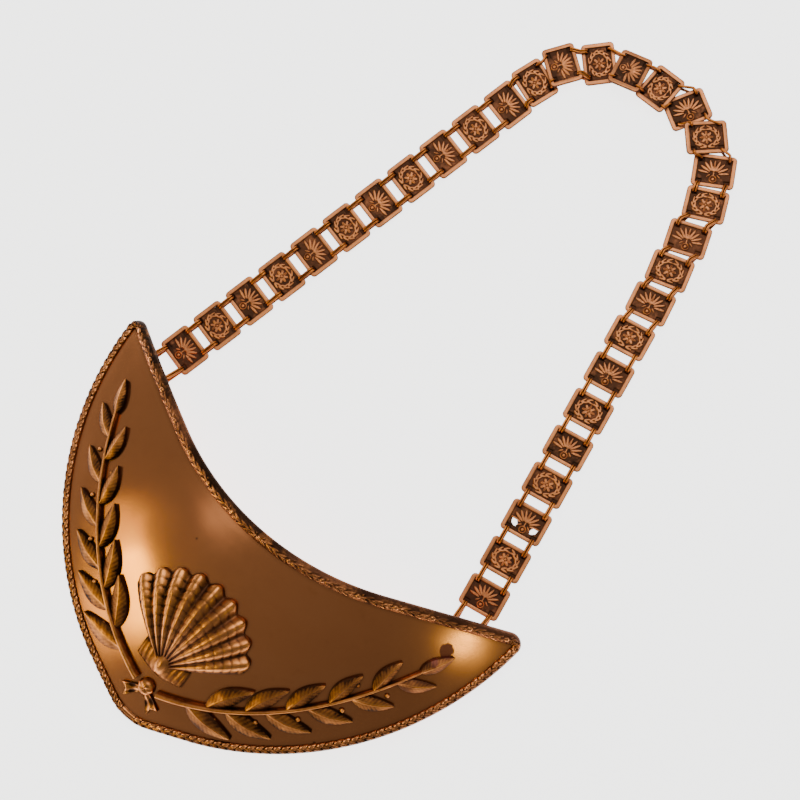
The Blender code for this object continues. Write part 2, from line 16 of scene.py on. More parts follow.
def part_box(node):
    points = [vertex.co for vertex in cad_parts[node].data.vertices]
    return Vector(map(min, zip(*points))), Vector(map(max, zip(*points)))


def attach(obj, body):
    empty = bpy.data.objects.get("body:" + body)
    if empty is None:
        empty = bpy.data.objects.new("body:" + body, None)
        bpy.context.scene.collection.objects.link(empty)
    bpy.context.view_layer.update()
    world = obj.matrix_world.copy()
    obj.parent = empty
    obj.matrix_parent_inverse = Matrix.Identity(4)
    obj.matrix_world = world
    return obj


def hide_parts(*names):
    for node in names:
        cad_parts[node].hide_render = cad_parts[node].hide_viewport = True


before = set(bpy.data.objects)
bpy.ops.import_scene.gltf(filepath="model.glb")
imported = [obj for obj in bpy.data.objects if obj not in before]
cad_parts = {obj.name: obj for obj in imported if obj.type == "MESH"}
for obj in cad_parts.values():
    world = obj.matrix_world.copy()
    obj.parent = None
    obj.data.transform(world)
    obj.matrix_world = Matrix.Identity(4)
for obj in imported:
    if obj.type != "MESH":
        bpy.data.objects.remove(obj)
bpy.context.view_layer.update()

MM = 0.001
DOWN = -math.pi / 2  # towards the point, as an angle from +X

# Outline
OUTER_RADIUS = 0.1395
OUTER_CENTRE = np.array((-0.0325, 0.0060))
POINT_SLOPE = math.radians(24.8)
POINT_RADIUS = 0.0242
NECK_RADIUS = 0.1300
NECK_CENTRE = np.array((0, 0.0966))
NECK_ANGLE = math.radians(23.9)
HORN_RADIUS = 0.0049

# Dome
CAP_CENTRE_Y = -0.0213
CAP_RADIUS = 0.1094
CAP_HEIGHT = 0.0304
SPHERE_RADIUS = (CAP_RADIUS**2 + CAP_HEIGHT**2) / (2 * CAP_HEIGHT)
CAP_SLOPE = math.asin(CAP_RADIUS / SPHERE_RADIUS)
PLATE_THICKNESS = 0.0010
PLATE_INSET = 0.0013

# Rim
RIM_DEPTH = {"neck": 0.0050, "outer": 0.0036}
RIM_LIP = 0.0007
RIM_BACK = 0.0015
POINT_BAND_ANGLE = math.radians(9)
PLATE_LIFT = RIM_BACK * math.cos(CAP_SLOPE) - RIM_LIP * math.tan(CAP_SLOPE)
RIM_STEP = 0.00026

# Chain
LINK_WIDTH = 0.0178
LINK_LENGTH = 0.0139
LINK_THICKNESS = 0.0012
LINK_CORNER = 0.0018
SIDE_BAR = 0.0019
CROSS_BAR = 0.0017
SLOT = Vector((0.0025, 0.0016))
FIELD_DEPTH = 0.0005
FIELD_CORNER = 0.0003
MIDDLE_LINK = 16
PIERCED_LINK = 29
WIRE = 0.00074
TURN_APART = 0.00096
WIRE_RADIUS = 0.00050
SINGLE_RADIUS = 0.00060
STRAIGHT = 0.971
RING_SIDE = LINK_WIDTH / 2 - SIDE_BAR - SLOT.x / 2
BAR_REACH = (LINK_LENGTH - CROSS_BAR) / 2
FUSED_GRIP = Vector((0.00105, 0.00085))
LOOSE_GRIP = Vector((0.00182, 0.00152))
RING_BIAS = 0.0020
RING_BEND = 0.0011
RING_STEPS = 5
RING_SIDES = 8
LINK_REST = LOOSE_GRIP.y + WIRE / 2
LEFT_START, RIGHT_START = Vector((-0.0809, 0.0009)), Vector((0.0819, 0.0022))
LEFT_HEADING, RIGHT_HEADING = math.radians(76.8), math.radians(-79.7)
LEFT_PITCH, RIGHT_PITCH = 0.01707, 0.01738
LEFT_LINKS, RIGHT_LINKS = 11, 8
LIFT_STEP = math.radians(9.5)
BEND = [  # place in millimetres, heading in degrees, steps of lift
    (-39.1, 181.5, 71, 0),
    (-34.5, 194.1, 54.5, 1),
    (-23.1, 204.55, 45.5, 0),
    (-10.25, 208.75, 14.5, 2),
    (3.8, 211.2, 0.5, 1),
    (18.1, 211.8, -29.5, 0),
    (31.7, 206.8, -46, 1),
    (43.1, 197.9, -60, 0),
    (49.3, 184.7, -64.5, 0),
    (52.55, 168.9, -69, 0),
    (55.3, 153.9, -73, 0),
    (57.9, 138.3, -77, 0),
]
BAIL_WIRE = 0.0014
BAIL_HALF = 0.0080
BAIL_Z = 0.0048
BAIL_INSET = 0.0024
BAIL_SHOULDER = 0.0838
BAIL_BEND = 0.0016
BAIL_STEPS = 6
BAIL_SIDES = 12

# Ornament
FOOT = PLATE_THICKNESS / 2  # the sheet's face, over its middle surface
ORNAMENT_BASE = FOOT + 0.0003
SHELL_HINGE = np.array((0, -0.1030))
SHELL_REACH = 0.0420
SHELL_SPREAD = math.radians(54)
SHELL_RIBS = 9
SHELL_RISE = 0.0045
RIB_RISE = 0.0011
HINGE_MIDDLE = -0.1013
HINGE_HALF = (0.0116, 0.0049)
SPRAY_CURVE = np.array(((0.0055, -0.1125), (0.0560, -0.0930), (0.0840, -0.0320)))
SPRAY_LEAVES = 11
LEAF_LENGTH = 0.0225
LEAF_WIDTH = 0.0078
LEAF_ANGLE = math.radians(26)
KNOT_Y = -0.1130
SEAT = FOOT - 0.0001  # the ornament's flat underside, just inside the sheet


# ---- meshes


class Shape:
    """Points, faces and a value of worn metal and painted light for one mesh (0 in a recess or on a
    side in painted shade, 1 on a worn edge or a top that is painted lit).
    """

    def __init__(self):
        self.points, self.wear_and_light, self.faces, self.count = [], [], [], 0

    def add(self, points, wear_and_light=0.6):
        """Adds an array of points; returns their indices, in the same layout."""
        points = np.asarray(points, float)
        layout = points.shape[:-1]
        self.points.append(points.reshape(-1, 3))
        self.wear_and_light.append(np.broadcast_to(wear_and_light, layout).ravel())
        index = self.count + np.arange(self.points[-1].shape[0]).reshape(layout)
        self.count += index.size
        return index

    def span(self, index, keep=None):
        """Quads over a grid of indices; keep leaves some of the cells out."""
        corners = (index[:-1, :-1], index[:-1, 1:], index[1:, 1:], index[1:, :-1])
        quads = np.stack(corners, -1)
        chosen = quads.reshape(-1, 4) if keep is None else quads[keep]
        self.faces += chosen.tolist()

    def tube(self, index, closed=False):
        """Skin round rows of sections, each a closed loop; capped unless it closes on itself."""
        loops = np.hstack([index, index[:, :1]])
        if closed:
            loops = np.vstack([loops, loops[:1]])
        else:
            self.faces += [index[0].tolist(), index[-1].tolist()]
        self.span(loops)

    def slab(self, top, foot):
        """Two grids of the same layout, joined round their edge into a closed solid."""
        self.span(top)
        self.span(foot)
        loops = [
            np.concatenate([g[0], g[1:-1, -1], g[-1][::-1], g[1:-1, 0][::-1], g[0, :1]])
            for g in (top, foot)
        ]
        self.span(np.stack(loops))

    def build(self, name, crease=50):
        mesh = bpy.data.meshes.new(name)
        mesh.from_pydata(np.concatenate(self.points).tolist(), [], self.faces)
        attribute = mesh.attributes.new("wear_and_light", "FLOAT", "POINT")
        attribute.data.foreach_set("value", np.concatenate(self.wear_and_light).astype(np.float32))
        whole = bmesh.new()
        whole.from_mesh(mesh)
        bmesh.ops.recalc_face_normals(whole, faces=whole.faces)
        whole.to_mesh(mesh)
        whole.free()
        mesh.shade_smooth()
        mesh.set_sharp_from_angle(angle=math.radians(crease))
        return placed(name, mesh)


def unit(x):
    return np.clip(x, 0, 1)


def smooth(x, low, high):
    """0 below low, 1 above high, an eased step between."""
    t = unit((x - low) / (high - low))
    return t * t * (3 - 2 * t)


def arch(x):
    """Half a round arch over -1 to 1."""
    return np.sqrt(unit(1 - x**2))


def bell(x):
    return np.exp(-(x**2))


def ripple(x, y, size, seed):
    """Smooth wandering between about -1 and 1, with features of this size."""
    rng = np.random.default_rng(seed)
    total = np.zeros(np.broadcast(x, y).shape)
    for _ in range(7):
        angle, phase = rng.uniform(0, math.tau, 2)
        rate = math.tau / (size * rng.uniform(0.8, 2.2))
        total = total + np.sin((x * math.cos(angle) + y * math.sin(angle)) * rate + phase)
    return total / 3.5


# ---- outline and dome


def turned(angle):
    return np.array((math.cos(angle), math.sin(angle)))


SHOULDER = turned(NECK_ANGLE)
SHOULDER_NORMAL = turned(NECK_ANGLE - math.pi / 2)
SHOULDER_START = NECK_CENTRE + NECK_RADIUS * SHOULDER_NORMAL


def point_centre():
    outward = np.array((math.sin(POINT_SLOPE), -math.cos(POINT_SLOPE)))
    distance = outward @ OUTER_CENTRE + OUTER_RADIUS - POINT_RADIUS
    return np.array((0, distance / outward[1]))


def horn_centre():
    start = SHOULDER_START + SHOULDER_NORMAL * HORN_RADIUS
    away = start - OUTER_CENTRE
    run = away @ SHOULDER
    reach = math.sqrt(run**2 - away @ away + (OUTER_RADIUS - HORN_RADIUS) ** 2)
    return start + SHOULDER * (reach - run)


POINT_CENTRE = point_centre()
HORN_CENTRE = horn_centre()
HORN_OUTER = math.atan2(*(HORN_CENTRE - OUTER_CENTRE)[::-1])
HORN_NECK = NECK_ANGLE + math.pi / 2
HORN_MIDDLE = (HORN_OUTER + HORN_NECK) / 2


def bow(centre, radius, start, end, inward=-1):
    """Points along an arc and their inward normals; inward is 1 where the plate lies outside it."""
    count = max(2, round(abs(end - start) * radius / RIM_STEP))
    away = np.stack([turned(angle) for angle in np.linspace(start, end, count + 1)])
    return centre + radius * away, inward * away


def run(a, b, normal):
    count = round(np.linalg.norm(b - a) / RIM_STEP)
    share = np.linspace(0, 1, count + 1)[:, None]
    return a + (b - a) * share, np.tile(normal, (count + 1, 1))


def length_to(points):
    """The length of a line up to each of its points."""
    return np.concatenate([[0], np.cumsum(np.linalg.norm(np.diff(points, axis=0), axis=1))])


def track(*stretches):
    """One line from several stretches: its points, inward normals and length so far."""
    points, normals = (
        np.concatenate([part[(i > 0) :] for i, part in enumerate(parts)]) for parts in zip(*stretches)
    )
    return points, normals, length_to(points)


def neck_track():
    """The right half of the neck, from its middle to the horn's tip."""
    horn_start = HORN_CENTRE + HORN_RADIUS * turned(HORN_NECK)
    return track(
        bow(NECK_CENTRE, NECK_RADIUS, DOWN, DOWN + NECK_ANGLE, 1),
        run(SHOULDER_START, horn_start, SHOULDER_NORMAL),
        bow(HORN_CENTRE, HORN_RADIUS, HORN_NECK, HORN_MIDDLE),
    )


def outer_track(start):
    """The right outer edge, from this angle off the point's middle to the horn's tip."""
    slope = turned(DOWN + POINT_SLOPE)
    return track(
        bow(POINT_CENTRE, POINT_RADIUS, DOWN + start, DOWN + POINT_SLOPE),
        run(POINT_CENTRE + POINT_RADIUS * slope, OUTER_CENTRE + OUTER_RADIUS * slope, -slope),
        bow(OUTER_CENTRE, OUTER_RADIUS, DOWN + POINT_SLOPE, HORN_OUTER),
        bow(HORN_CENTRE, HORN_RADIUS, HORN_OUTER, HORN_MIDDLE),
    )


def flipped(line):
    points, normals, length = line
    return points * (-1, 1), normals * (-1, 1), length


def both_halves(line):
    """The line and its mirror image as one; its length counts from the middle."""
    return tuple(np.concatenate([left[:0:-1], right]) for left, right in zip(flipped(line), line))


def outer_inset(x, y):
    """How far inside the outer edge a place is."""
    place = np.stack([np.abs(x), y], -1)
    away, near = place - OUTER_CENTRE, place - POINT_CENTRE
    angle = DOWN + POINT_SLOPE
    on_arc = np.arctan2(away[..., 1], away[..., 0]) > angle
    at_point = np.arctan2(near[..., 1], near[..., 0]) < angle
    from_arc = OUTER_RADIUS - np.linalg.norm(away, axis=-1)
    from_point = POINT_RADIUS - np.linalg.norm(near, axis=-1)
    from_line = OUTER_RADIUS - away @ turned(angle)
    return np.where(on_arc, from_arc, np.where(at_point, from_point, from_line))


def neck_inset(x, y):
    """How far inside the neck edge a place is."""
    place = np.stack([np.abs(x), y], -1)
    away = place - NECK_CENTRE
    bend = np.arctan2(away[..., 0], -away[..., 1]) < NECK_ANGLE
    from_bend = np.linalg.norm(away, axis=-1) - NECK_RADIUS
    return np.where(bend, from_bend, (place - SHOULDER_START) @ SHOULDER_NORMAL)


def on_dome(x, y, height):
    """Points this far over the sheet's middle surface, in the source's frame."""
    across = y - CAP_CENTRE_Y
    drop = np.sqrt(SPHERE_RADIUS**2 - x**2 - across**2)
    out = height / SPHERE_RADIUS
    z = drop - SPHERE_RADIUS + CAP_HEIGHT + PLATE_LIFT + drop * out
    return np.stack(np.broadcast_arrays(x + x * out, y + across * out, z), -1)


def find_shift():
    """From the source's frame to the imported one, by the lowest corner of the sheet."""
    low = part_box("plate")[0]
    tip = POINT_CENTRE - (0, POINT_RADIUS - PLATE_INSET)
    horn = HORN_CENTRE + (HORN_RADIUS - PLATE_INSET) * turned(HORN_MIDDLE)
    bottom = min(on_dome(*place, -FOOT)[2] for place in (tip, horn))
    return np.array((0, low.y - on_dome(*tip, FOOT)[1], low.z - bottom))


SHIFT = find_shift()


def lay(x, y, height):
    return on_dome(x, y, height) + SHIFT


# ---- plate


PLATE_COLUMNS = 150  # of the mesh, in each half
PLATE_ROWS = 90
# Rows of the plate's mesh from its edge inwards, finer by the rim
EDGE_ROWS = np.concatenate([np.linspace(0, 0.0075, 26), np.linspace(0.0085, 0.012, 4)])
LEAST_LENGTH = 0.016  # of a column, near the horns
DENT_FREE = (0.005, 0.012)  # insets between which the dents fade in
WORN_IN = 0.0022  # past the rim's inner edge, over which the plate's dark border fades


def sheet_height(x, y):
    """How far the sheet's face stands off its plain dome: shallow dents, away from the rims."""
    dents = ripple(x, y, 0.034, 3) * 0.00011 + ripple(x, y, 0.015, 5) * 0.000022
    return dents * smooth(outer_inset(x, y), *DENT_FREE) * smooth(neck_inset(x, y), *DENT_FREE)


def evenly(points, count):
    lengths = length_to(points)
    wanted = np.linspace(0, lengths[-1], count + 1)
    return np.stack([np.interp(wanted, lengths, points[:, i]) for i in range(2)], 1)


def plate_sheet():
    tracks = (neck_track(), outer_track(0.0))
    half = [evenly(points + inward * PLATE_INSET, PLATE_COLUMNS) for points, inward, _ in tracks]
    neck, outer = (np.concatenate([h[:0:-1] * (-1, 1), h]) for h in half)
    length = np.maximum(np.linalg.norm(neck - outer, axis=1), LEAST_LENGTH)
    start = EDGE_ROWS[-1] / length
    inner_rows = PLATE_ROWS - len(EDGE_ROWS)
    shares = [row / length for row in EDGE_ROWS]
    shares += [start + (1 - start) * (j + 1) / inner_rows for j in range(inner_rows)]
    grid = np.stack([outer + (neck - outer) * share[:, None] for share in shares], 1)
    x, y = grid[..., 0], grid[..., 1]
    gap = np.minimum(outer_inset(x, y) - RIM_DEPTH["outer"], neck_inset(x, y) - RIM_DEPTH["neck"])
    wear_and_light = 0.6 + 0.4 * smooth(gap, 0, WORN_IN)
    rise = sheet_height(x, y)
    shape = Shape()
    top = shape.add(lay(x, y, FOOT + rise), wear_and_light)
    shape.slab(top, shape.add(lay(x, y, -FOOT + rise), 0.4))
    return shape.build("plate_sheet")


# ---- rims


def leaf_height(along, across, length, width):
    """A pointed leaf lying from 0 to its length, with a groove down its middle; 0 outside it."""
    t = unit(along / length)
    half = width / 2 * np.sin(math.pi * t**0.8) ** 0.8
    inside = unit(1 - (across / np.maximum(half, 1e-6)) ** 2) * ((along > 0) & (along < length))
    vein = 1 - 0.35 * bell(across / (0.09 * width))
    return np.sqrt(inside) * vein * (0.40 + 0.60 * t)


def leaves_at(s, v, pitch, length, width, angle, side):
    """A row of overlapping leaves on one side of a garland's middle line."""
    best = np.zeros(np.broadcast(s, v).shape)
    local = np.mod(s, pitch)
    for k in range(-2, 3):
        ds, dv = local - k * pitch, v * side
        along = ds * math.cos(angle) + dv * math.sin(angle)
        across = -ds * math.sin(angle) + dv * math.cos(angle)
        best = np.maximum(best, leaf_height(along, across, length, width))
    return best


def leaf_pairs(s, v, pitch, leaf, stagger):
    """Such rows on both sides, the second one set off along the line."""
    return np.maximum(leaves_at(s, v, pitch, *leaf, 1), leaves_at(s + stagger, v, pitch, *leaf, -1))


ROPE_PITCH = 0.0036
ROPE_LEAF = (0.0043, 0.00165, 0.36)  # length, width and lean
SPRIG_PITCH = 0.0148
SPRIG_LEAF = (0.0043, 0.00100, 0.32)
BERRY_RADIUS = 0.00105
BAND_PITCH = 0.00075


def rope_garland(s, v):
    """Small paired leaves with buds between their tips, as on the outer rims."""
    pairs = leaf_pairs(s, v, ROPE_PITCH, ROPE_LEAF, 0.0014)
    stem = bell(v / 0.00018) * 0.40
    away = np.hypot(np.mod(s + 0.0011, ROPE_PITCH) - ROPE_PITCH / 2, np.abs(v) - 0.00085)
    buds = arch(away / 0.00042)
    return np.maximum(np.maximum(pairs, stem), buds)


def berry_garland(s, v):
    """Long leaf sprigs with a round berry between each and the next, as on the neck rim."""
    cell = np.mod(s, SPRIG_PITCH) - SPRIG_PITCH / 2
    swing = v - 0.00035 * np.sin(cell / SPRIG_PITCH * math.tau)
    away = np.hypot(np.abs(cell) - SPRIG_PITCH / 2, v)
    sprig = leaf_pairs(s, swing, SPRIG_PITCH / 4, SPRIG_LEAF, 0.0016)
    sprig = sprig * smooth(SPRIG_PITCH / 2 - np.abs(cell), 0.0010, 0.0016)
    stem = bell(swing / 0.00016) * 0.6
    berry = arch(away / BERRY_RADIUS) - 0.35 * bell(away / 0.0003)
    return np.maximum(np.maximum(sprig, stem), berry)


def plain_band(s, v):
    """Fine ridges along the edge."""
    return 0.35 + 0.25 * np.cos(v / BAND_PITCH * math.tau)


# Each rim's section from its inner edge over the front to the outer edge: inset, height, in mm
FRONT = {
    "neck": (
        (5.0, 0.50), (4.85, 0.72), (4.6, 0.98), (4.2, 1.25), (3.6, 1.5), (2.8, 1.68),
        (2.0, 1.7), (1.3, 1.5), (0.8, 1.2), (0.35, 0.75), (0.08, 0.3), (0.0, 0.0),
    ),
    "outer": (
        (3.6, 0.50), (3.48, 0.70), (3.25, 0.94), (2.9, 1.2), (2.4, 1.42), (1.9, 1.55),
        (1.4, 1.5), (0.95, 1.3), (0.5, 0.95), (0.22, 0.6), (0.05, 0.25), (0.0, 0.0),
    ),
}
RIDGE = {"neck": (0.0033, 0.0034), "outer": (0.0022, 0.0028)}  # the garland's inset and width
RIM_PAINTED_LIT = {"neck": (0.0010, 0.0042), "outer": (0.0008, 0.0028)}  # insets between which it brightens: the top painted lit, the rolled outer edge in painted shade
SECTION_STEPS = 34
RIM_TUCK = 0.00008  # keeps the relief inside the plain rim
NECK_RISE, OUTER_RISE, BAND_RISE = 0.00060, 0.00078, 0.0005  # of the reliefs


def rim_section(kind):
    """Insets and heights round the section, and how much of the relief each place takes."""
    depth = RIM_DEPTH[kind] / MM
    front = np.array(FRONT[kind]) * MM
    steps = length_to(front)
    fine = np.linspace(0, steps[-1], SECTION_STEPS)
    front = np.stack([np.interp(fine, steps, front[:, i]) for i in range(2)], 1)
    back = np.array((
        (0.05, -0.5), (0.25, -1.1), (0.7, -1.5), (depth * 0.6, -1.5), (depth - 0.7, -1.5),
        (depth - 0.5, -1.3), (depth - 0.5, -0.52), (depth - 0.5, 0.2),
    )) * MM
    both = np.concatenate([front, back])
    middle, width = RIDGE[kind]
    share = smooth(width / 2 + 0.0001 - np.abs(both[:, 0] - middle), 0, 0.0003)
    share[len(front) :] = 0
    return both, share


def rim(name, line, kind, garland, rise):
    points, normals, length = line
    section, share = rim_section(kind)
    inset, height = section.T
    x = points[:, :1] + normals[:, :1] * (inset + RIM_TUCK)
    y = points[:, 1:] + normals[:, 1:] * (inset + RIM_TUCK)
    s = np.abs(length)[:, None] + 0 * inset
    v = inset - RIDGE[kind][0] + 0 * s
    relief = garland(s, v) * share
    shape = Shape()
    # Painted light: the rim's top lit, its rolled outer edge and its back in shade; the garland's
    # raised tops brighter, partly worn metal and partly painted highlight
    painted_lit = smooth(inset, *RIM_PAINTED_LIT[kind]) * (height > 0)
    wear_and_light = unit(0.06 + 0.22 * painted_lit + relief**1.4 * (0.35 + 0.75 * painted_lit))
    rough = ripple(s, v, 0.004, 11) * 0.00003 + ripple(s, v, 0.0011, 12) * 0.00005
    rough = rough * (height > 0.0003)
    index = shape.add(lay(x, y, height + relief * rise + rough), wear_and_light)
    shape.tube(index)
    return shape.build(name, 60)


# ---- ornament


RIB_COLUMNS, SHELL_ROWS = 16, 64  # of the mesh
GROWTH_LINES = 9
LEAF_VEINS = 11
FIRST_LEAF, LEAF_SPAN = 0.12, 0.76  # shares of the stem


def shell_crown(share):
    inner = 1 - (unit(0.62 - share) / 0.56) ** 2
    outer = 1 - (unit(share - 0.62) / 0.38) ** 2.2
    return np.where(share < 0.62, inner, outer)


def casting(shape, x, y, height, wear_and_light):
    """A relief over these places, closed by a flat underside."""
    shape.slab(shape.add(lay(x, y, height), wear_and_light), shape.add(lay(x, y, SEAT), 0))


def hinge(shape):
    """The two ears, ribbed across, and the knob between them."""
    u, w = np.meshgrid(np.linspace(-1, 1, 97), np.linspace(-1, 1, 41))
    x = HINGE_HALF[0] * u
    y = HINGE_MIDDLE + HINGE_HALF[1] * w * (1 - 0.45 * u**2 * (w < 0))
    out = np.abs(u)
    knob = bell(out / 0.24) * (1 - 0.75 * w**2)
    ribs = 0.5 + 0.5 * np.cos(out * 30 - w * 1.4)
    edge = smooth(1 - out, 0, 0.10) * smooth(1 - np.abs(w), 0, 0.22)
    swell = (0.55 + 0.45 * (1 - w**2)) * (0.6 + 0.4 * edge) - 0.12 * ribs * (1 - knob) * edge
    height = FOOT + 0.0013 * swell + 0.0018 * knob
    # Brighter on the knob, darker in the rib grooves and at the edges: partly worn metal, partly
    # painted highlight and shade
    wear_and_light = unit(0.10 + 0.45 * edge * (1 - 0.7 * ribs) + 0.5 * knob)
    casting(shape, x, y, height, wear_and_light)


def shell():
    """Rounded ribs from the hinge, with growth lines across them."""
    across = np.linspace(-1, 1, SHELL_RIBS * RIB_COLUMNS + 1)
    share = np.linspace(0.10, 1, SHELL_ROWS + 1)[:, None]
    wave = 0.5 - 0.5 * np.cos((across + 1) * SHELL_RIBS * math.pi)
    rib = wave**0.7
    reach = SHELL_REACH * share * (1 - 0.12 * across**2) * (1 - 0.05 * share * (1 - rib))
    angle = SHELL_SPREAD * across
    x, y = SHELL_HINGE[0] + np.sin(angle) * reach, SHELL_HINGE[1] + np.cos(angle) * reach
    rings = 0.5 + 0.5 * np.cos(share**1.35 * math.tau * GROWTH_LINES)
    growth = rings**6 * 0.00016 * smooth(share, 0.2, 0.5)
    threads = 0.5 - 0.5 * np.cos((across + 1) * SHELL_RIBS * math.pi * 4)
    fine = threads * 0.00010 * share * (1 - 0.7 * rib)
    rise = SHELL_RISE * shell_crown(share) * np.cos(angle) + RIB_RISE * rib * share - growth - fine
    height = ORNAMENT_BASE + 0.0008 * (0.4 + 0.6 * rib) + rise
    # Brighter on the rib crests, darker on the growth lines: partly worn metal, partly painted
    # highlight and shade
    wear_and_light = unit(0.08 + 0.9 * rib * smooth(share, 0.05, 0.35) - 0.35 * rings**6 * (share > 0.3))
    shape = Shape()
    casting(shape, x, y, height, wear_and_light)
    hinge(shape)
    return shape.build("shell_relief", 60)


def stem_place(share):
    a, b, c = SPRAY_CURVE
    return a * (1 - share) ** 2 + b * 2 * share * (1 - share) + c * share**2


def stem_heading(share):
    a, b, c = SPRAY_CURVE
    heading = (b - a) * (1 - share) + (c - b) * share
    return heading / np.linalg.norm(heading)


def swung(direction, angle):
    c, s = math.cos(angle), math.sin(angle)
    return np.array((direction[0] * c - direction[1] * s, direction[0] * s + direction[1] * c))


def blade(shape, share, turn, size, side, order):
    """A laurel leaf: a raised midrib, slanting side veins, and a tip that lifts a little."""
    start, heading = stem_place(share), swung(stem_heading(share), turn)
    across = swung(heading, math.pi / 2)
    u = np.linspace(0, 1, 34)[:, None]
    w = np.linspace(-1, 1, 21)
    outline = np.maximum(0.16 * (1 - u) ** 2, np.sin(math.pi * u**0.72) ** 0.82)
    half = LEAF_WIDTH * size / 2 * outline
    bend = LEAF_LENGTH * size * 0.045 * np.sin(math.pi * u) * np.sign(turn)
    centre = start + heading * LEAF_LENGTH * size * u[..., None] + across * bend[..., None]
    place = centre + across * (half * w)[..., None]
    midrib = np.interp(u, (0, 0.42, 1), (0.0012, 0.0019, 0.0009))
    body = 0.0007 + (midrib - 0.0007) * (1 - np.abs(w) ** 1.6)
    rib = 0.00022 * bell(w * half / 0.00028) * (1 - u)
    veins = np.cos((u * LEAF_VEINS - np.abs(w) * 1.5) * math.tau)
    side_veins = 0.00007 * veins * smooth(np.abs(w), 0.1, 0.35) * (1 - np.abs(w) ** 4)
    lift = 0.00012 * order + 0.0005 * u**2
    height = ORNAMENT_BASE + body + rib + side_veins + lift
    x, y = place[..., 0] * side, place[..., 1]
    midline = bell(w * half / 0.0003)
    # Partly worn metal and partly painted light: the midrib lit, the sloping sides and the leaf's
    # edge in shade, varying a little along the veins
    wear_and_light = unit(0.14 + 0.5 * (1 - np.abs(w)) ** 1.3 + 0.3 * midline + 0.10 * veins)
    casting(shape, x, y, height, wear_and_light * smooth(1.02 - np.abs(w), 0, 0.12))


def berry(shape, place, radius, side):
    """A round berry with a dimple at its tip, half sunk in the relief."""
    turns = np.linspace(0, math.tau, 17)[:-1]
    rise = np.linspace(0, math.pi / 2, 8)[:, None]
    out = np.cos(rise) * radius
    x, y = (place[0] + out * np.cos(turns)) * side, place[1] + out * np.sin(turns)
    height = FOOT + np.sin(rise) * radius * 1.25 + 0 * turns
    height[-1] -= 0.00025
    # Painted light: the berry's top lit, its sides in shade
    index = shape.add(lay(x, y, height), 0.15 + 0.75 * np.sin(rise) + 0 * turns)
    shape.tube(index)


def spray(name, side):
    shape = Shape()
    for k in range(SPRAY_LEAVES):
        up = k / (SPRAY_LEAVES - 1)
        turn = LEAF_ANGLE if k % 2 else -LEAF_ANGLE
        blade(shape, FIRST_LEAF + LEAF_SPAN * up, turn, 1.0 - 0.3 * up, side, 1 + k % 2)
    blade(shape, 0.96, 0.0, 0.65, side, 3)
    share = np.linspace(0, 0.97, 60)
    place = np.stack([stem_place(s) for s in share])
    across = np.stack([swung(stem_heading(s), math.pi / 2) for s in share])
    w = np.linspace(-1, 1, 9)
    half = 0.0014 - 0.0008 * share
    spot = place[:, None] + across[:, None] * (half[:, None] * w)[..., None]
    height = ORNAMENT_BASE + 0.0004 + (half[:, None] * 1.1 + 0.0008) * arch(w)
    x, y = spot[..., 0] * side, spot[..., 1]
    # Painted light: the stem's crown lit, its sides in shade
    casting(shape, x, y, height, 0.2 + 0.6 * (1 - np.abs(w)))
    for k in range(1, SPRAY_LEAVES - 1):
        spot = FIRST_LEAF + LEAF_SPAN * (k + 0.45) / (SPRAY_LEAVES - 1)
        out = swung(stem_heading(spot), math.pi / 2) * (1 if k % 2 == 0 else -1)
        size = 0.00135 - 0.0004 * spot
        berry(shape, stem_place(spot) + out * (0.0052 - 0.0018 * spot), size, side)
    return shape.build(name, 60)


def ribbon():
    """A pleated knot and two notched tails."""
    shape = Shape()
    for side in (-1, 1):
        t = np.linspace(0, 1, 30)[:, None]
        w = np.linspace(-1, 1, 15)
        half = 0.0011 + 0.0015 * t
        notch = 0.0016 * (1 - np.abs(w)) * smooth(t, 0.75, 1)
        reach = t * 0.0078 - notch
        x = side * (0.0008 + reach * 0.92 + 0.6 * half * w)
        y = KNOT_Y - 0.0015 - reach * 0.72 + 0.8 * half * w
        fold = 0.00035 * np.sin(t * 9) + 0.00022 * np.cos(w * math.pi * 1.5)
        # Painted light: the higher folds of the tails lit, the lower ones in shade
        casting(shape, x, y, ORNAMENT_BASE + 0.0009 + fold, unit(0.5 + fold / 0.0008))
    turns = np.linspace(0, math.tau, 65)[:-1]
    rise = np.linspace(0, math.pi / 2, 16)[:, None]
    pleat = 0.5 + 0.5 * np.cos(turns * 2 + math.pi)
    out = 0.0038 * np.cos(rise) ** 0.7 * (1 - 0.10 * pleat)
    creases = np.cos(np.sin(turns) * 9)
    height = FOOT + 0.0034 * np.sin(rise) * (0.86 + 0.14 * pleat) + 0.00012 * creases * np.cos(rise)
    # Painted light: the knot's top lit, its foot in shade, lighter and darker across the creases
    wear_and_light = 0.3 + 0.4 * np.sin(rise) + 0.2 * creases
    shape.tube(shape.add(lay(out * np.cos(turns), KNOT_Y + out * np.sin(turns), height), wear_and_light))
    return shape.build("ribbon_knot", 60)


# ---- chain


# In a link's field, in millimetres
FIELD_COLUMNS, FIELD_ROWS = 67, 49  # of the mesh
FIGURE_RISE = 0.42
POCKET_DEPTH = 0.55  # of the hollow at each corner that the rings pass through, which is painted darker as shade
WREATH = (4.9, 4.0)  # its half width and height
PIERCING = [(3.8, -0.8), (2.9, -2.2), (3.3, -3.5), (4.3, -3.4), (5.5, -2.6), (5.9, -0.8)]


def strand(start, heading, pitch, count):
    way = Vector(turned(heading))
    return [(start + way * pitch * k, heading, 0) for k in range(count)]


def link_places():
    left = strand(LEFT_START, LEFT_HEADING, LEFT_PITCH, LEFT_LINKS)
    right = strand(RIGHT_START, RIGHT_HEADING + math.pi, RIGHT_PITCH, RIGHT_LINKS)
    bend = [(Vector((x, y)) / 1000, math.radians(turn), lift) for x, y, turn, lift in BEND]
    return left + bend + [(place, RIGHT_HEADING, lift) for place, _, lift in reversed(right)]


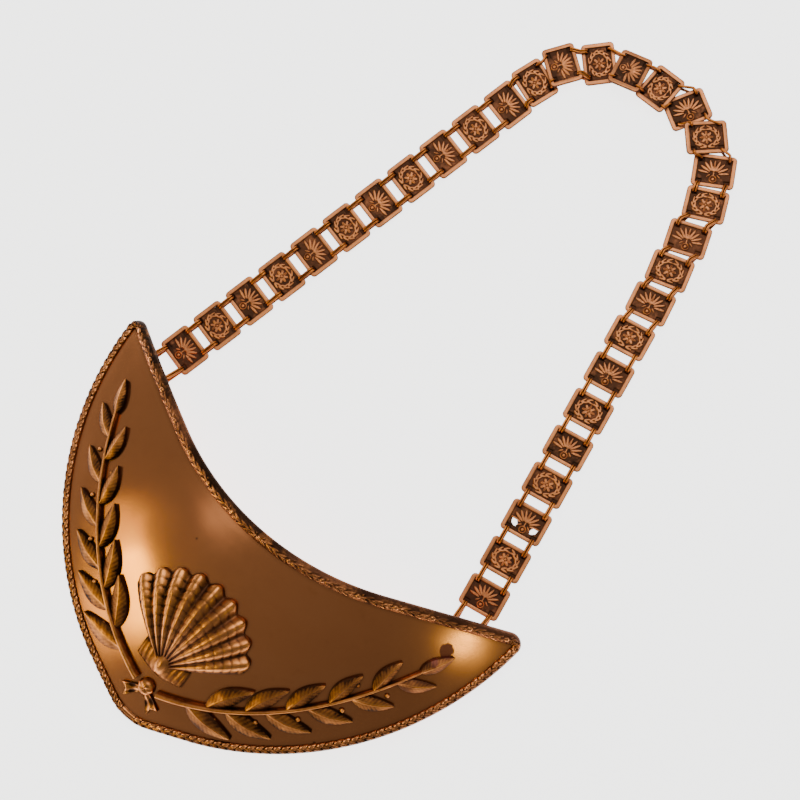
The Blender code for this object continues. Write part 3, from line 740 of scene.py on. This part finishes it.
def link_matrices():
    found = []
    hinge = Matrix.Translation((-LINK_WIDTH / 2, 0, -LINK_THICKNESS / 2))
    for place, heading, lift in link_places():
        spot = Matrix.Translation((place.x, place.y, LINK_REST))
        turn = Matrix.Rotation(heading - math.pi / 2, 4, "Z")
        tilt = Matrix.Rotation(-lift * LIFT_STEP, 4, "Y")
        found.append(spot @ turn @ hinge @ tilt @ hinge.inverted())
    return found


def frame_loops():
    """The outer and the inner outline of a link's frame, point for point, in millimetres."""
    wide, long = LINK_WIDTH / 2 / MM, LINK_LENGTH / 2 / MM
    field_x, field_y = wide - SIDE_BAR / MM, long - CROSS_BAR / MM
    arc = [math.radians(15 * k) for k in range(7)]
    outer, inner = [], []
    for sx, sy in ((1, 1), (-1, 1), (-1, -1), (1, -1)):
        for loop, x, y, radius, last in (
            (outer, wide, long, LINK_CORNER / MM, 4.4),
            (inner, field_x, field_y, FIELD_CORNER / MM, 4.2),
        ):
            line = [(x, stop) for stop in (1.5, 3.0, last)]
            cx, cy = x - radius, y - radius
            line += [(cx + radius * math.cos(a), cy + radius * math.sin(a)) for a in arc]
            line += [(stop, y) for stop in (6.0, 4.4, 2.9, 1.2)]
            loop += [(sx * a, sy * b) for a, b in line[:: sx * sy]]
    return np.array(outer), np.array(inner)


def link_frame(shape, place):
    outer, inner = frame_loops()
    half = LINK_THICKNESS / 2 / MM
    profile = (
        (0.10, -half), (0.0, -0.42), (0.0, 0.36), (0.05, 0.50), (0.16, half - 0.02), (0.35, half),
        (0.65, half), (0.84, half - 0.02), (0.95, 0.50), (1.0, 0.38), (1.0, -0.45), (0.92, -half),
    )
    rows, wear_and_light = [], []
    for share, z in profile:
        flat = outer + (inner - outer) * share
        rows.append(np.column_stack([flat, np.full(len(flat), z)]))
        # Painted light: the middle of the frame's top lit, its shoulders half lit, its sides and
        # underside in shade
        wear_and_light.append(np.full(len(flat), 0.08 if z < 0.45 else 0.30 + 0.55 * (0.1 < share < 0.9)))
    index = shape.add(place(np.stack(rows)), np.stack(wear_and_light))
    shape.tube(index, closed=True)


def oval(x, y, cx, cy, angle, length, width, groove):
    """A lens-shaped stroke with a line down its middle."""
    dx, dy = x - cx, y - cy
    u = dx * math.cos(angle) + dy * math.sin(angle)
    w = -dx * math.sin(angle) + dy * math.cos(angle)
    half = width / 2 * arch(2 * u / length)
    inside = unit(1 - (w / np.maximum(half, 1e-4)) ** 2) * (np.abs(u) < length / 2)
    return np.sqrt(inside) * (1 - groove * bell(w / (0.13 * width)))


def rosette_relief(x, y):
    """Eight petals round a button, in a wreath of paired leaves; mirrored left to right."""
    ax = np.abs(x)
    r, a = np.hypot(x, y), np.arctan2(y, ax)
    off = np.abs(np.mod(a + math.pi / 8, math.pi / 4) - math.pi / 8)
    marks = [oval(r * np.cos(off), r * np.sin(off), 1.75, 0, 0, 2.3, 1.25, 0.45), arch(r / 0.55)]
    half_x, half_y = WREATH
    for k in range(6):
        turn = math.radians(-72 + 29 * k)
        way = WREATH * turned(turn)
        heading = math.atan2(half_y * math.cos(turn), -half_x * math.sin(turn))
        out = way / np.linalg.norm(way)
        for side in (-1, 1):
            centre = way + out * 0.50 * side
            marks.append(oval(ax, y, *centre, heading - side * 0.28, 2.9, 0.92, 0.15))
    return np.maximum.reduce(marks)


def fan_relief(x, y):
    """A palmette of nine narrow leaves over a ringed bud, with a pair of small leaves; mirrored."""
    ax = np.abs(x)
    bud = np.hypot(ax, y + 3.35)
    marks = [arch(bud / 0.75), bell((bud - 1.35) / 0.26)]
    marks.append(oval(ax, y, 0, -1.1, math.pi / 2, 2.4, 0.8, 0))
    for k in range(5):
        lean = math.radians(90 - 20.5 * k)
        reach = 5.9 + 0.75 * math.cos(lean)
        inner = 0.9 + 0.25 * k
        length = reach - inner
        out = inner + length / 2
        centre = (0, -1.25) + out * turned(lean)
        marks.append(oval(ax, y, *centre, lean, length, 1.15, 0.30))
    return np.maximum.reduce([*marks, oval(ax, y, 2.0, -2.0, math.radians(-38), 2.2, 0.7, 0) * 0.8])


def within(x, y, corners):
    """Whether each place is inside a convex outline that runs anticlockwise."""
    found = np.ones(x.shape, bool)
    for (ax, ay), (bx, by) in zip(corners, corners[1:] + corners[:1]):
        found &= (bx - ax) * (y - ay) - (by - ay) * (x - ax) > 0
    return found


def link_field(shape, place, relief, pierced, seed):
    """The sunk field with its raised figure, a hollow at each corner, and two holes in one link."""
    half_x = (LINK_WIDTH / 2 - SIDE_BAR) / MM
    half_y = (LINK_LENGTH / 2 - CROSS_BAR) / MM
    columns = np.linspace(-half_x, half_x, FIELD_COLUMNS)
    x, y = np.meshgrid(columns, np.linspace(-half_y, half_y, FIELD_ROWS))
    floor = (LINK_THICKNESS / 2 - FIELD_DEPTH) / MM
    height = relief(x, y)
    grain = ripple(x, y, 1.1, seed)
    top = np.stack([x, y, floor + FIGURE_RISE * height + 0.02 * grain], -1)
    middle_x, middle_y = (x[1:, 1:] + x[:-1, :-1]) / 2, (y[1:, 1:] + y[:-1, :-1]) / 2
    keep = ~(within(np.abs(middle_x), middle_y, PIERCING) & pierced)
    pocket = smooth(np.abs(x), half_x - SLOT.x / MM, half_x - SLOT.x / MM + 0.2)
    pocket *= smooth(np.abs(y), half_y - SLOT.y / MM, half_y - SLOT.y / MM + 0.2)
    top[..., 2] -= pocket * POCKET_DEPTH
    # Brighter on the raised figure, partly worn metal and partly painted highlight; darker in the
    # corner hollows as painted shade
    wear_and_light = unit(0.10 + height * 0.9 + 0.05 * grain - 0.2 * pocket)
    back = np.full_like(x, -LINK_THICKNESS / 2 / MM + 0.05)
    upper = shape.add(place(top), wear_and_light)
    lower = shape.add(place(np.stack([x, y, back], -1)), 0.25)
    shape.span(upper, keep)
    shape.span(lower, keep)
    padded = np.pad(keep, 1)
    across = padded[1:-1, 1:] != padded[1:-1, :-1]
    upward = padded[1:, 1:-1] != padded[:-1, 1:-1]
    for edges, (up, along) in ((across, (1, 0)), (upward, (0, 1))):
        for j, i in zip(*np.nonzero(edges)):
            near, far = (j, i), (j + up, i + along)
            shape.faces.append([int(n) for n in (upper[near], upper[far], lower[far], lower[near])])


def rounding(start, corner, end, steps):
    """Points of a curve round a corner."""
    shares = (i / steps for i in range(steps + 1))
    return [start.lerp(corner, t).lerp(corner.lerp(end, t), t) for t in shares]


def rounded_loop(path):
    """A closed line with each corner rounded between the middles of its two sides."""
    found = []
    for k, corner in enumerate(path):
        before, after = path[k - 1], path[(k + 1) % len(path)]
        start, end = (
            corner.lerp(to, min(0.5, RING_BEND / (to - corner).length)) for to in (before, after)
        )
        found += rounding(start, corner, end, RING_STEPS)
    return found


def wire(shape, path, radius, closed, sides):
    """Round wire along a line of points."""
    count = len(path)
    rings, tops, normal = [], [], None
    for k, place in enumerate(path):
        before = path[k - 1] if closed or k else path[k]
        after = path[(k + 1) % count] if closed or k < count - 1 else path[k]
        tangent = (after - before).normalized()
        if normal is None:
            normal = tangent.orthogonal().normalized()
        normal = (normal - tangent * normal.dot(tangent)).normalized()
        other = tangent.cross(normal)
        turns = (math.tau * i / sides for i in range(sides))
        out = [normal * math.cos(t) + other * math.sin(t) for t in turns]
        rings.append([place + way * radius for way in out])
        tops.append([way.z for way in out])
    # Painted light: the upper side of the wire lit, its sides and underside in shade
    wear_and_light = 0.12 + 0.6 * smooth(np.array(tops), 0.1, 0.95)
    shape.tube(shape.add(np.array(rings) + SHIFT, wear_and_light), closed)


def ring_paths(held, loose):
    """The lines of a ring's turns round two crossbars: two of them, one where the chain bends."""
    way = (loose[0] - held[0]).xy.to_3d() + (held[1] + loose[1]) * RING_BIAS
    way.normalize()
    up = Vector((0, 0, 1))
    lowest = min(held[0].z, loose[0].z) - LOOSE_GRIP.y
    spots, flat = [], []
    for (centre, heading), grip in ((held, FUSED_GRIP), (loose, LOOSE_GRIP)):
        for reach, height in ((1, 0), (0.6, grip.y), (0.6, lowest - centre.z)):
            for end in (-reach, reach):
                spots.append(centre + heading * end * grip.x + up * height)
                flat.append(Vector((spots[-1].dot(way), spots[-1].z)))
    path = [spots[i] for i in convex_hull_2d(flat)]
    if held[1].dot(loose[1]) < STRAIGHT:
        return [path]
    apart = way.cross(up).normalized() * TURN_APART / 2
    return [[spot + apart * side for spot in path] for side in (-1, 1)]


def bar_spots(matrix, end):
    heading = (matrix.to_3x3() @ Vector((0, 1, 0))).normalized()
    return [(matrix @ Vector((side * RING_SIDE, end * BAR_REACH, 0)), heading) for side in (-1, 1)]


def reverse(spot):
    return spot[0], -spot[1]


def bail_frame(side):
    start = SHOULDER_START + SHOULDER_NORMAL * BAIL_INSET
    middle = start + SHOULDER * (BAIL_SHOULDER - start[0]) / SHOULDER[0]
    way = Vector((SHOULDER[0], side * SHOULDER[1], 0))
    return Vector((side * middle[0], middle[1], BAIL_Z)), way


def bail_spots(side):
    middle, way = bail_frame(side)
    onward = way.cross(Vector((0, 0, side)))
    return [(middle + way * RING_SIDE * end * -side, onward) for end in (-1, 1)]


def joint_rings(matrices):
    lifts = [lift for _, _, lift in link_places()]
    owned = {number: [] for number in range(1, len(matrices) + 1)}
    for number, (matrix, onward) in enumerate(zip(matrices, matrices[1:]), 1):
        pairs = list(zip(bar_spots(matrix, 1), bar_spots(onward, -1)))
        if lifts[number] > lifts[number - 1]:
            owned[number + 1] += [ring_paths(reverse(b), reverse(a)) for a, b in pairs]
        else:
            owned[number] += [ring_paths(a, b) for a, b in pairs]
    first, last = bar_spots(matrices[0], -1), bar_spots(matrices[-1], 1)
    owned[1] += [ring_paths(reverse(a), reverse(b)) for a, b in zip(first, bail_spots(-1))]
    owned[len(matrices)] += [ring_paths(a, b) for a, b in zip(last, bail_spots(1))]
    return owned


def link(number, matrix, rings):
    """A link's frame and field, and its wire rings as a second piece."""
    facing = 1 if number <= MIDDLE_LINK else -1

    def place(points):
        rows = np.array(matrix.to_3x3()).T
        return points * MM * (facing, facing, 1) @ rows + np.array(matrix.translation) + SHIFT

    body = Shape()
    link_frame(body, place)
    relief = fan_relief if number % 2 else rosette_relief
    link_field(body, place, relief, number == PIERCED_LINK, number)
    pieces = [(body.build(f"link_{number:02d}_plate", 40), "frame")]
    if rings:
        wires = Shape()
        for turns in rings:
            for turn in turns:
                radius = WIRE_RADIUS if len(turns) > 1 else SINGLE_RADIUS
                low = radius - SHIFT[2]
                path = [Vector((spot.x, spot.y, max(spot.z, low))) for spot in rounded_loop(turn)]
                wire(wires, path, radius, True, RING_SIDES)
        pieces.append((wires.build(f"link_{number:02d}_rings"), "wire"))
    return pieces


def bail(name, side):
    middle, way = bail_frame(side)
    knees = [middle + way * end * BAIL_HALF for end in (-1, 1)]
    top = []
    for knee in knees:
        drop = math.sqrt((SPHERE_RADIUS - RIM_BACK) ** 2 - knee.x**2 - (knee.y - CAP_CENTRE_Y) ** 2)
        top.append(Vector((knee.x, knee.y, drop - SPHERE_RADIUS + CAP_HEIGHT + PLATE_LIFT)))
    path = [top[0], top[0].lerp(knees[0], 0.6)]
    for knee, before, after in ((knees[0], top[0], knees[1]), (knees[1], knees[0], top[1])):
        start, end = (knee + (other - knee).normalized() * BAIL_BEND for other in (before, after))
        path += rounding(start, knee, end, BAIL_STEPS)
    path += [top[1].lerp(knees[1], 0.6), top[1]]
    shape = Shape()
    wire(shape, path, BAIL_WIRE / 2, False, BAIL_SIDES)
    return shape.build(name)


# ---- materials


BLOTS = ((0.0842, -0.0236, 0.0030), (0.0838, -0.0306, 0.0026))  # place and radius
STAIN = (0.20, 0.060, 0.045)
# reach of the corner darkening: patina and painted shade
RECESS_REACH = 0.0022
RELIEF_GRAIN = 0.12
PLATE_COLOURS = (0.25, (0.8, 0.285, 0.1)), (0.55, (0.86, 0.315, 0.112)), (0.85, (0.9, 0.345, 0.13))
PLATE_FLECK = (0.60, 0.19, 0.05)
PLATE_GRIME = (0.34, 0.12, 0.04)
# the plate's colour in deep corners: patina and painted shade
PLATE_HOLLOW = (0.05, 0.022, 0.012)
PLATE_SPECK = (0.12, 0.04, 0.015)
BRUSHED, BRUSH_WAY = (90, 1500, 600), (0, 0, math.radians(-39))  # the scale each way, the turn
RELIEF_TONE = (0.42, 0.15, 0.07)
# Each metal's colours from a recess or a side in painted shade, over the middle, to a worn place or a
# top with a painted highlight, then its roughness in both
METALS = {
    "ornament": ((0.020, 0.008, 0.004), (0.36, 0.125, 0.030), (0.90, 0.335, 0.085), 0.46, 0.28),
    "rim": ((0.028, 0.012, 0.006), (0.34, 0.118, 0.036), (0.98, 0.37, 0.12), 0.44, 0.20),
    "chain": ((0.10, 0.045, 0.026), (0.49, 0.18, 0.080), (0.94, 0.35, 0.125), 0.60, 0.42),
    "wire": ((0.030, 0.008, 0.003), (0.50, 0.14, 0.030), (0.95, 0.33, 0.07), 0.40, 0.32),
}
FLOOR_GLOW = 3.1  # the pale surface is lit from below as well, as on a light table
FLOOR_HALF = 3.0
FLOOR_DROP = 0.0002


def preset(node, values):
    for socket, value in values.items():
        node.inputs[socket].default_value = value


def fill(ramp, stops):
    while len(ramp.elements) < len(stops):
        ramp.elements.new(1.0)
    for element, (position, colour) in zip(ramp.elements, stops):
        element.position = position
        element.color = (*colour, 1.0)


class Look:
    """A metal material, with short calls for its nodes."""

    def __init__(self, name):
        self.material = bpy.data.materials.new(name)
        self.material.use_nodes = True
        self.tree = self.material.node_tree
        self.shader = self.tree.nodes["Principled BSDF"]
        preset(self.shader, {"Metallic": 1.0})
        self.place = self.node("TexCoord").outputs["Object"]

    def node(self, kind, inputs=(), **settings):
        made = self.tree.nodes.new("ShaderNode" + kind)
        for key, value in settings.items():
            setattr(made, key, value)
        for key, value in dict(inputs).items():
            if isinstance(value, bpy.types.NodeSocket):
                self.tree.links.new(value, made.inputs[key])
            else:
                made.inputs[key].default_value = value
        return made

    def noise(self, scale, detail=4.0, roughness=0.55, distortion=0.0, place=None):
        values = {"Vector": place or self.place, "Scale": scale, "Detail": detail}
        values |= {"Roughness": roughness, "Distortion": distortion}
        return self.node("TexNoise", values).outputs["Fac"]

    def span(self, value, low, high, to_low=0.0, to_high=1.0):
        values = {0: value, 1: low, 2: high, 3: to_low, 4: to_high}
        return self.node("MapRange", values, interpolation_type="SMOOTHSTEP").outputs["Result"]

    def math(self, operation, a, b=0.0):
        return self.node("Math", {0: a, 1: b}, operation=operation).outputs[0]

    def mix(self, share, a, b):
        a, b = (c if isinstance(c, bpy.types.NodeSocket) else (*c, 1.0) for c in (a, b))
        return self.node("Mix", {0: share, 6: a, 7: b}, data_type="RGBA").outputs[2]

    def tint(self, share, colour, other, strength=1.0):
        """The colour, with as much of the other as this share times the strength."""
        return self.mix(self.math("MULTIPLY", share, strength), colour, other)

    def ramp(self, value, stops):
        made = self.node("ValToRGB", {0: value})
        fill(made.color_ramp, stops)
        return made.outputs["Color"]

    # The mesh value read here holds worn metal and painted light: recesses and sides in painted shade
    # at 0, worn edges and lit tops at 1
    def wear_and_light(self):
        return self.node("Attribute", attribute_name="wear_and_light").outputs["Fac"]

    def recess(self):
        """1 in a deep corner, 0 in the open; it darkens corners as patina and painted shade."""
        shade = self.node("AmbientOcclusion", {"Distance": RECESS_REACH}, samples=8)
        return self.span(shade.outputs["AO"], 0.95, 0.35)

    def bump(self, height, strength, distance, before=None):
        values = {"Height": height, "Strength": strength, "Distance": distance}
        if before is not None:
            values["Normal"] = before
        return self.node("Bump", values).outputs["Normal"]

    def near(self, centre, radius, ragged):
        """1 inside a spot with soft, slightly ragged edges."""
        away = self.node("VectorMath", {0: self.place, 1: centre}, operation="DISTANCE")
        away = self.math("ADD", away.outputs["Value"], self.math("MULTIPLY", ragged, radius))
        return self.span(away, radius * 1.65, radius * 1.35)

    def stains(self):
        """Two reddish blots near the right horn."""
        ragged = self.noise(300, 4, 0.6)
        blots = [self.near(tuple(lay(x, y, FOOT)), radius, ragged) for x, y, radius in BLOTS]
        return self.math("MAXIMUM", *blots)

    def finish(self, colour, roughness, normal=None):
        sockets = self.shader.inputs
        self.tree.links.new(colour, sockets["Base Color"])
        self.tree.links.new(roughness, sockets["Roughness"])
        if normal is not None:
            self.tree.links.new(normal, sockets["Normal"])
        return self.material


def plate_material():
    look = Look("plate_copper")
    colour = look.ramp(look.noise(22, 5, 0.6, 0.4), PLATE_COLOURS)
    colour = look.mix(look.span(look.noise(260, 3, 0.6), 0.55, 0.8, 0, 0.18), colour, PLATE_FLECK)
    edge = look.span(look.wear_and_light(), 0.0, 1.0, 0.85, 0.0)
    patches = look.span(look.noise(24, 3, 0.6), 0.1, 0.6, 0.4, 1.0)
    colour = look.tint(edge, colour, PLATE_GRIME, patches)
    # Deep corners darkened towards PLATE_HOLLOW: patina and painted shade
    colour = look.tint(look.recess(), colour, PLATE_HOLLOW, 0.6)
    stains = look.stains()
    colour = look.tint(stains, colour, STAIN, 0.85)
    dots = look.node("TexVoronoi", {"Vector": look.place, "Scale": 95.0, "Randomness": 1.0})
    chosen = look.span(look.noise(45, 2), 0.56, 0.6)
    specks = look.math("MULTIPLY", look.span(dots.outputs["Distance"], 0.075, 0.05), chosen)
    colour = look.tint(specks, colour, PLATE_SPECK, 0.7)
    values = {"Vector": look.place, "Scale": BRUSHED, "Rotation": BRUSH_WAY}
    brushed = look.noise(1.0, 3, 0.6, 0.0, look.node("Mapping", values).outputs["Vector"])
    rough = look.span(look.noise(30, 4, 0.6), 0.2, 0.8, 0.16, 0.20)
    rough = look.math("ADD", rough, look.math("MULTIPLY", brushed, 0.02))
    rough = look.math("ADD", rough, look.math("MULTIPLY", stains, 0.25))
    normal = look.bump(brushed, 0.010, 0.0003)
    return look.finish(colour, rough, look.bump(look.noise(900, 2), 0.02, 0.0002, normal))


def relief_material(kind, stained=False):
    """Dark in the recesses and bright on raised and upward-facing places: partly patina and worn
    metal, partly painted shade and painted highlight.
    """
    look = Look(f"{kind}_copper")
    low, middle, high, rough_low, rough_high = METALS[kind]
    patches = look.span(look.noise(150, 5, 0.65), 0.25, 0.75, -0.22, 0.22)
    value = look.math("ADD", look.wear_and_light(), patches)
    # Darker in deep corners: patina and painted shade
    value = look.math("SUBTRACT", value, look.math("MULTIPLY", look.recess(), 0.55))
    colour = look.ramp(value, ((0.08, low), (0.42, middle), (0.92, high)))
    colour = look.mix(look.span(look.noise(26, 3), 0.4, 0.75, 0, 0.35), colour, RELIEF_TONE)
    if stained:
        colour = look.tint(look.stains(), colour, STAIN, 0.7)
    rough = look.span(value, 0.0, 0.8, rough_low, rough_high)
    rough = look.math("ADD", rough, look.math("MULTIPLY", look.noise(700, 3), 0.10))
    return look.finish(colour, rough, look.bump(look.noise(1400, 4, 0.6), RELIEF_GRAIN, 0.00025))


def floor_material():
    look = Look("pale_floor")
    values = {"Metallic": 0, "Emission Color": (1, 1, 1, 1), "Emission Strength": FLOOR_GLOW}
    preset(look.shader, values)
    colour = look.mix(look.noise(6, 2), (0.80, 0.80, 0.80), (0.79, 0.79, 0.79))
    return look.finish(colour, look.span(look.noise(9, 2), 0.3, 0.7, 0.85, 0.9))


# ---- assembly

SIDES = ((-1, "left"), (1, "right"))
PANEL_DISTANCE = 1.2
PANELS = {  # the way towards each (heading, rise), the place lit, its size, glow and colour
    "key": (-123, 38.5, (-0.026, -0.084), (0.44, 0.20), 7, (1.0, 0.90, 0.12)),
    "flank": (-140, 38.5, (-0.026, -0.084), (0.26, 0.22), 2.0, (1.0, 0.82, 0.22)),
    "low": (-120, 27, (-0.030, -0.084), (0.32, 0.20), 2.6, (1.0, 0.86, 0.30)),
    "side": (0, 44, (0.0895, -0.0135), (0.08, 0.07), 20, (1.0, 1.0, 0.34)),
    "over": (-150, 68, (-0.050, 0.0), (0.34, 0.26), 0.7, (1, 1, 1)),
    "top": (105, 62, (0, 0), (0.95, 0.80), 2.6, (1, 1, 1)),
}
SKY = ((0.0, 0.52), (0.22, 0.38), (0.40, 0.24), (0.65, 0.22), (0.90, 0.24))  # rise and grey
SKY_SIDE = {"From Min": -0.9, "From Max": 0.6, "To Min": 1.0, "To Max": 0.6}  # dimmer to the right
LENS, SENSOR = 80.5, 36
CAMERA_DISTANCE = 0.7331
CAMERA_TARGET = Vector((0.00457, 0.04195, 0.01))
CAMERA_LEAN = math.radians(9.32), math.radians(2.02)
CAMERA_TURN = math.radians(39.77)


def keep(piece, slot, material, *nodes):
    piece.data.materials.append(material)
    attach(piece, "root")
    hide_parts(*nodes)


def dress():
    plate_metal = plate_material()
    ornament, garland = relief_material("ornament", stained=True), relief_material("rim")
    metals = {"frame": relief_material("chain"), "wire": relief_material("wire")}

    keep(plate_sheet(), "plate", plate_metal, "plate")
    neck, right = both_halves(neck_track()), outer_track(POINT_BAND_ANGLE)
    band = track(bow(POINT_CENTRE, POINT_RADIUS, DOWN - POINT_BAND_ANGLE, DOWN + POINT_BAND_ANGLE))
    for node, name, line, kind, garland_at, rise in (
        ("rim_neck", "rim_neck_garland", neck, "neck", berry_garland, NECK_RISE),
        ("rim_right", "rim_right_garland", right, "outer", rope_garland, OUTER_RISE),
        ("rim_left", "rim_left_garland", flipped(right), "outer", rope_garland, OUTER_RISE),
        ("rim_point_band", "rim_band", band, "outer", plain_band, BAND_RISE),
    ):
        keep(rim(name, line, kind, garland_at, rise), "rim", garland, node)
    keep(shell(), "ornament", ornament, "shell")
    for side, name in SIDES:
        keep(spray(f"spray_{name}_relief", side), "ornament", ornament, f"spray_{name}")
    keep(ribbon(), "ornament", ornament, "ribbon")
    for side, name in SIDES:
        keep(bail(f"bail_{name}_wire", side), "bail", metals["wire"], f"bail_{name}")
    matrices = link_matrices()
    rings = joint_rings(matrices)
    for number, matrix in enumerate(matrices, 1):
        for piece, kind in link(number, matrix, rings[number]):
            keep(piece, "chain", metals[kind], f"link_{number:02d}")


def placed(name, data):
    obj = bpy.data.objects.new(name, data)
    bpy.context.scene.collection.objects.link(obj)
    return obj


def floor():
    mesh = bpy.data.meshes.new("floor")
    corners = [(x * FLOOR_HALF, y * FLOOR_HALF, 0) for x, y in ((-1, -1), (1, -1), (1, 1), (-1, 1))]
    mesh.from_pydata(corners, [], [(0, 1, 2, 3)])
    obj = placed("floor", mesh)
    obj.location.z = -FLOOR_DROP
    mesh.materials.append(floor_material())


def softbox(name, heading, rise, aim, size, glow, colour):
    """A panel that shines at a place on the dome from this heading (from +X) and rise."""
    data = bpy.data.lights.new(name, "AREA")
    data.shape = "RECTANGLE"
    data.size, data.size_y = size
    data.energy = glow * math.pi * size[0] * size[1]
    data.color = colour
    obj = placed(name, data)
    turn, up = math.radians(heading), math.radians(rise)
    out = Vector((*turned(turn) * math.cos(up), math.sin(up)))
    obj.location = Vector(lay(*aim, 0)) + out * PANEL_DISTANCE
    obj.rotation_euler = (-out).to_track_quat("-Z", "Y").to_euler()


def studio():
    """Dim surroundings, palest at the horizon and towards the left."""
    world = bpy.data.worlds.new("studio")
    bpy.context.scene.world = world
    world.use_nodes = True
    tree = world.node_tree
    back = tree.nodes["Background"]
    kinds = "TexCoord", "SeparateXYZ", "ValToRGB", "MapRange"
    place, split, ramp, side = (tree.nodes.new("ShaderNode" + kind) for kind in kinds)
    fill(ramp.color_ramp, [(position, (grey,) * 3) for position, grey in SKY])
    preset(side, SKY_SIDE)
    for source, target in (
        (place.outputs["Generated"], split.inputs[0]),
        (split.outputs["Z"], ramp.inputs[0]),
        (split.outputs["X"], side.inputs["Value"]),
        (ramp.outputs[0], back.inputs["Color"]),
        (side.outputs[0], back.inputs["Strength"]),
    ):
        tree.links.new(source, target)


def lights():
    studio()
    for name, panel in PANELS.items():
        softbox(name, *panel)


def camera():
    """Looks down at the chain and plate, leaning a little to the right of straight above."""
    data = bpy.data.cameras.new("camera")
    data.lens, data.sensor_width = LENS, SENSOR
    obj = placed("camera", data)
    right, ahead = CAMERA_LEAN
    lean = Matrix.Rotation(right, 3, "Y") @ Matrix.Rotation(ahead, 3, "X")
    turn = lean @ Matrix.Rotation(CAMERA_TURN, 3, "Z")
    target = CAMERA_TARGET + Vector((*SHIFT[:2], 0))
    place = target + lean.col[2] * CAMERA_DISTANCE
    obj.matrix_world = Matrix.Translation(place) @ turn.to_4x4()
    bpy.context.scene.camera = obj


dress()
floor()
lights()
camera()
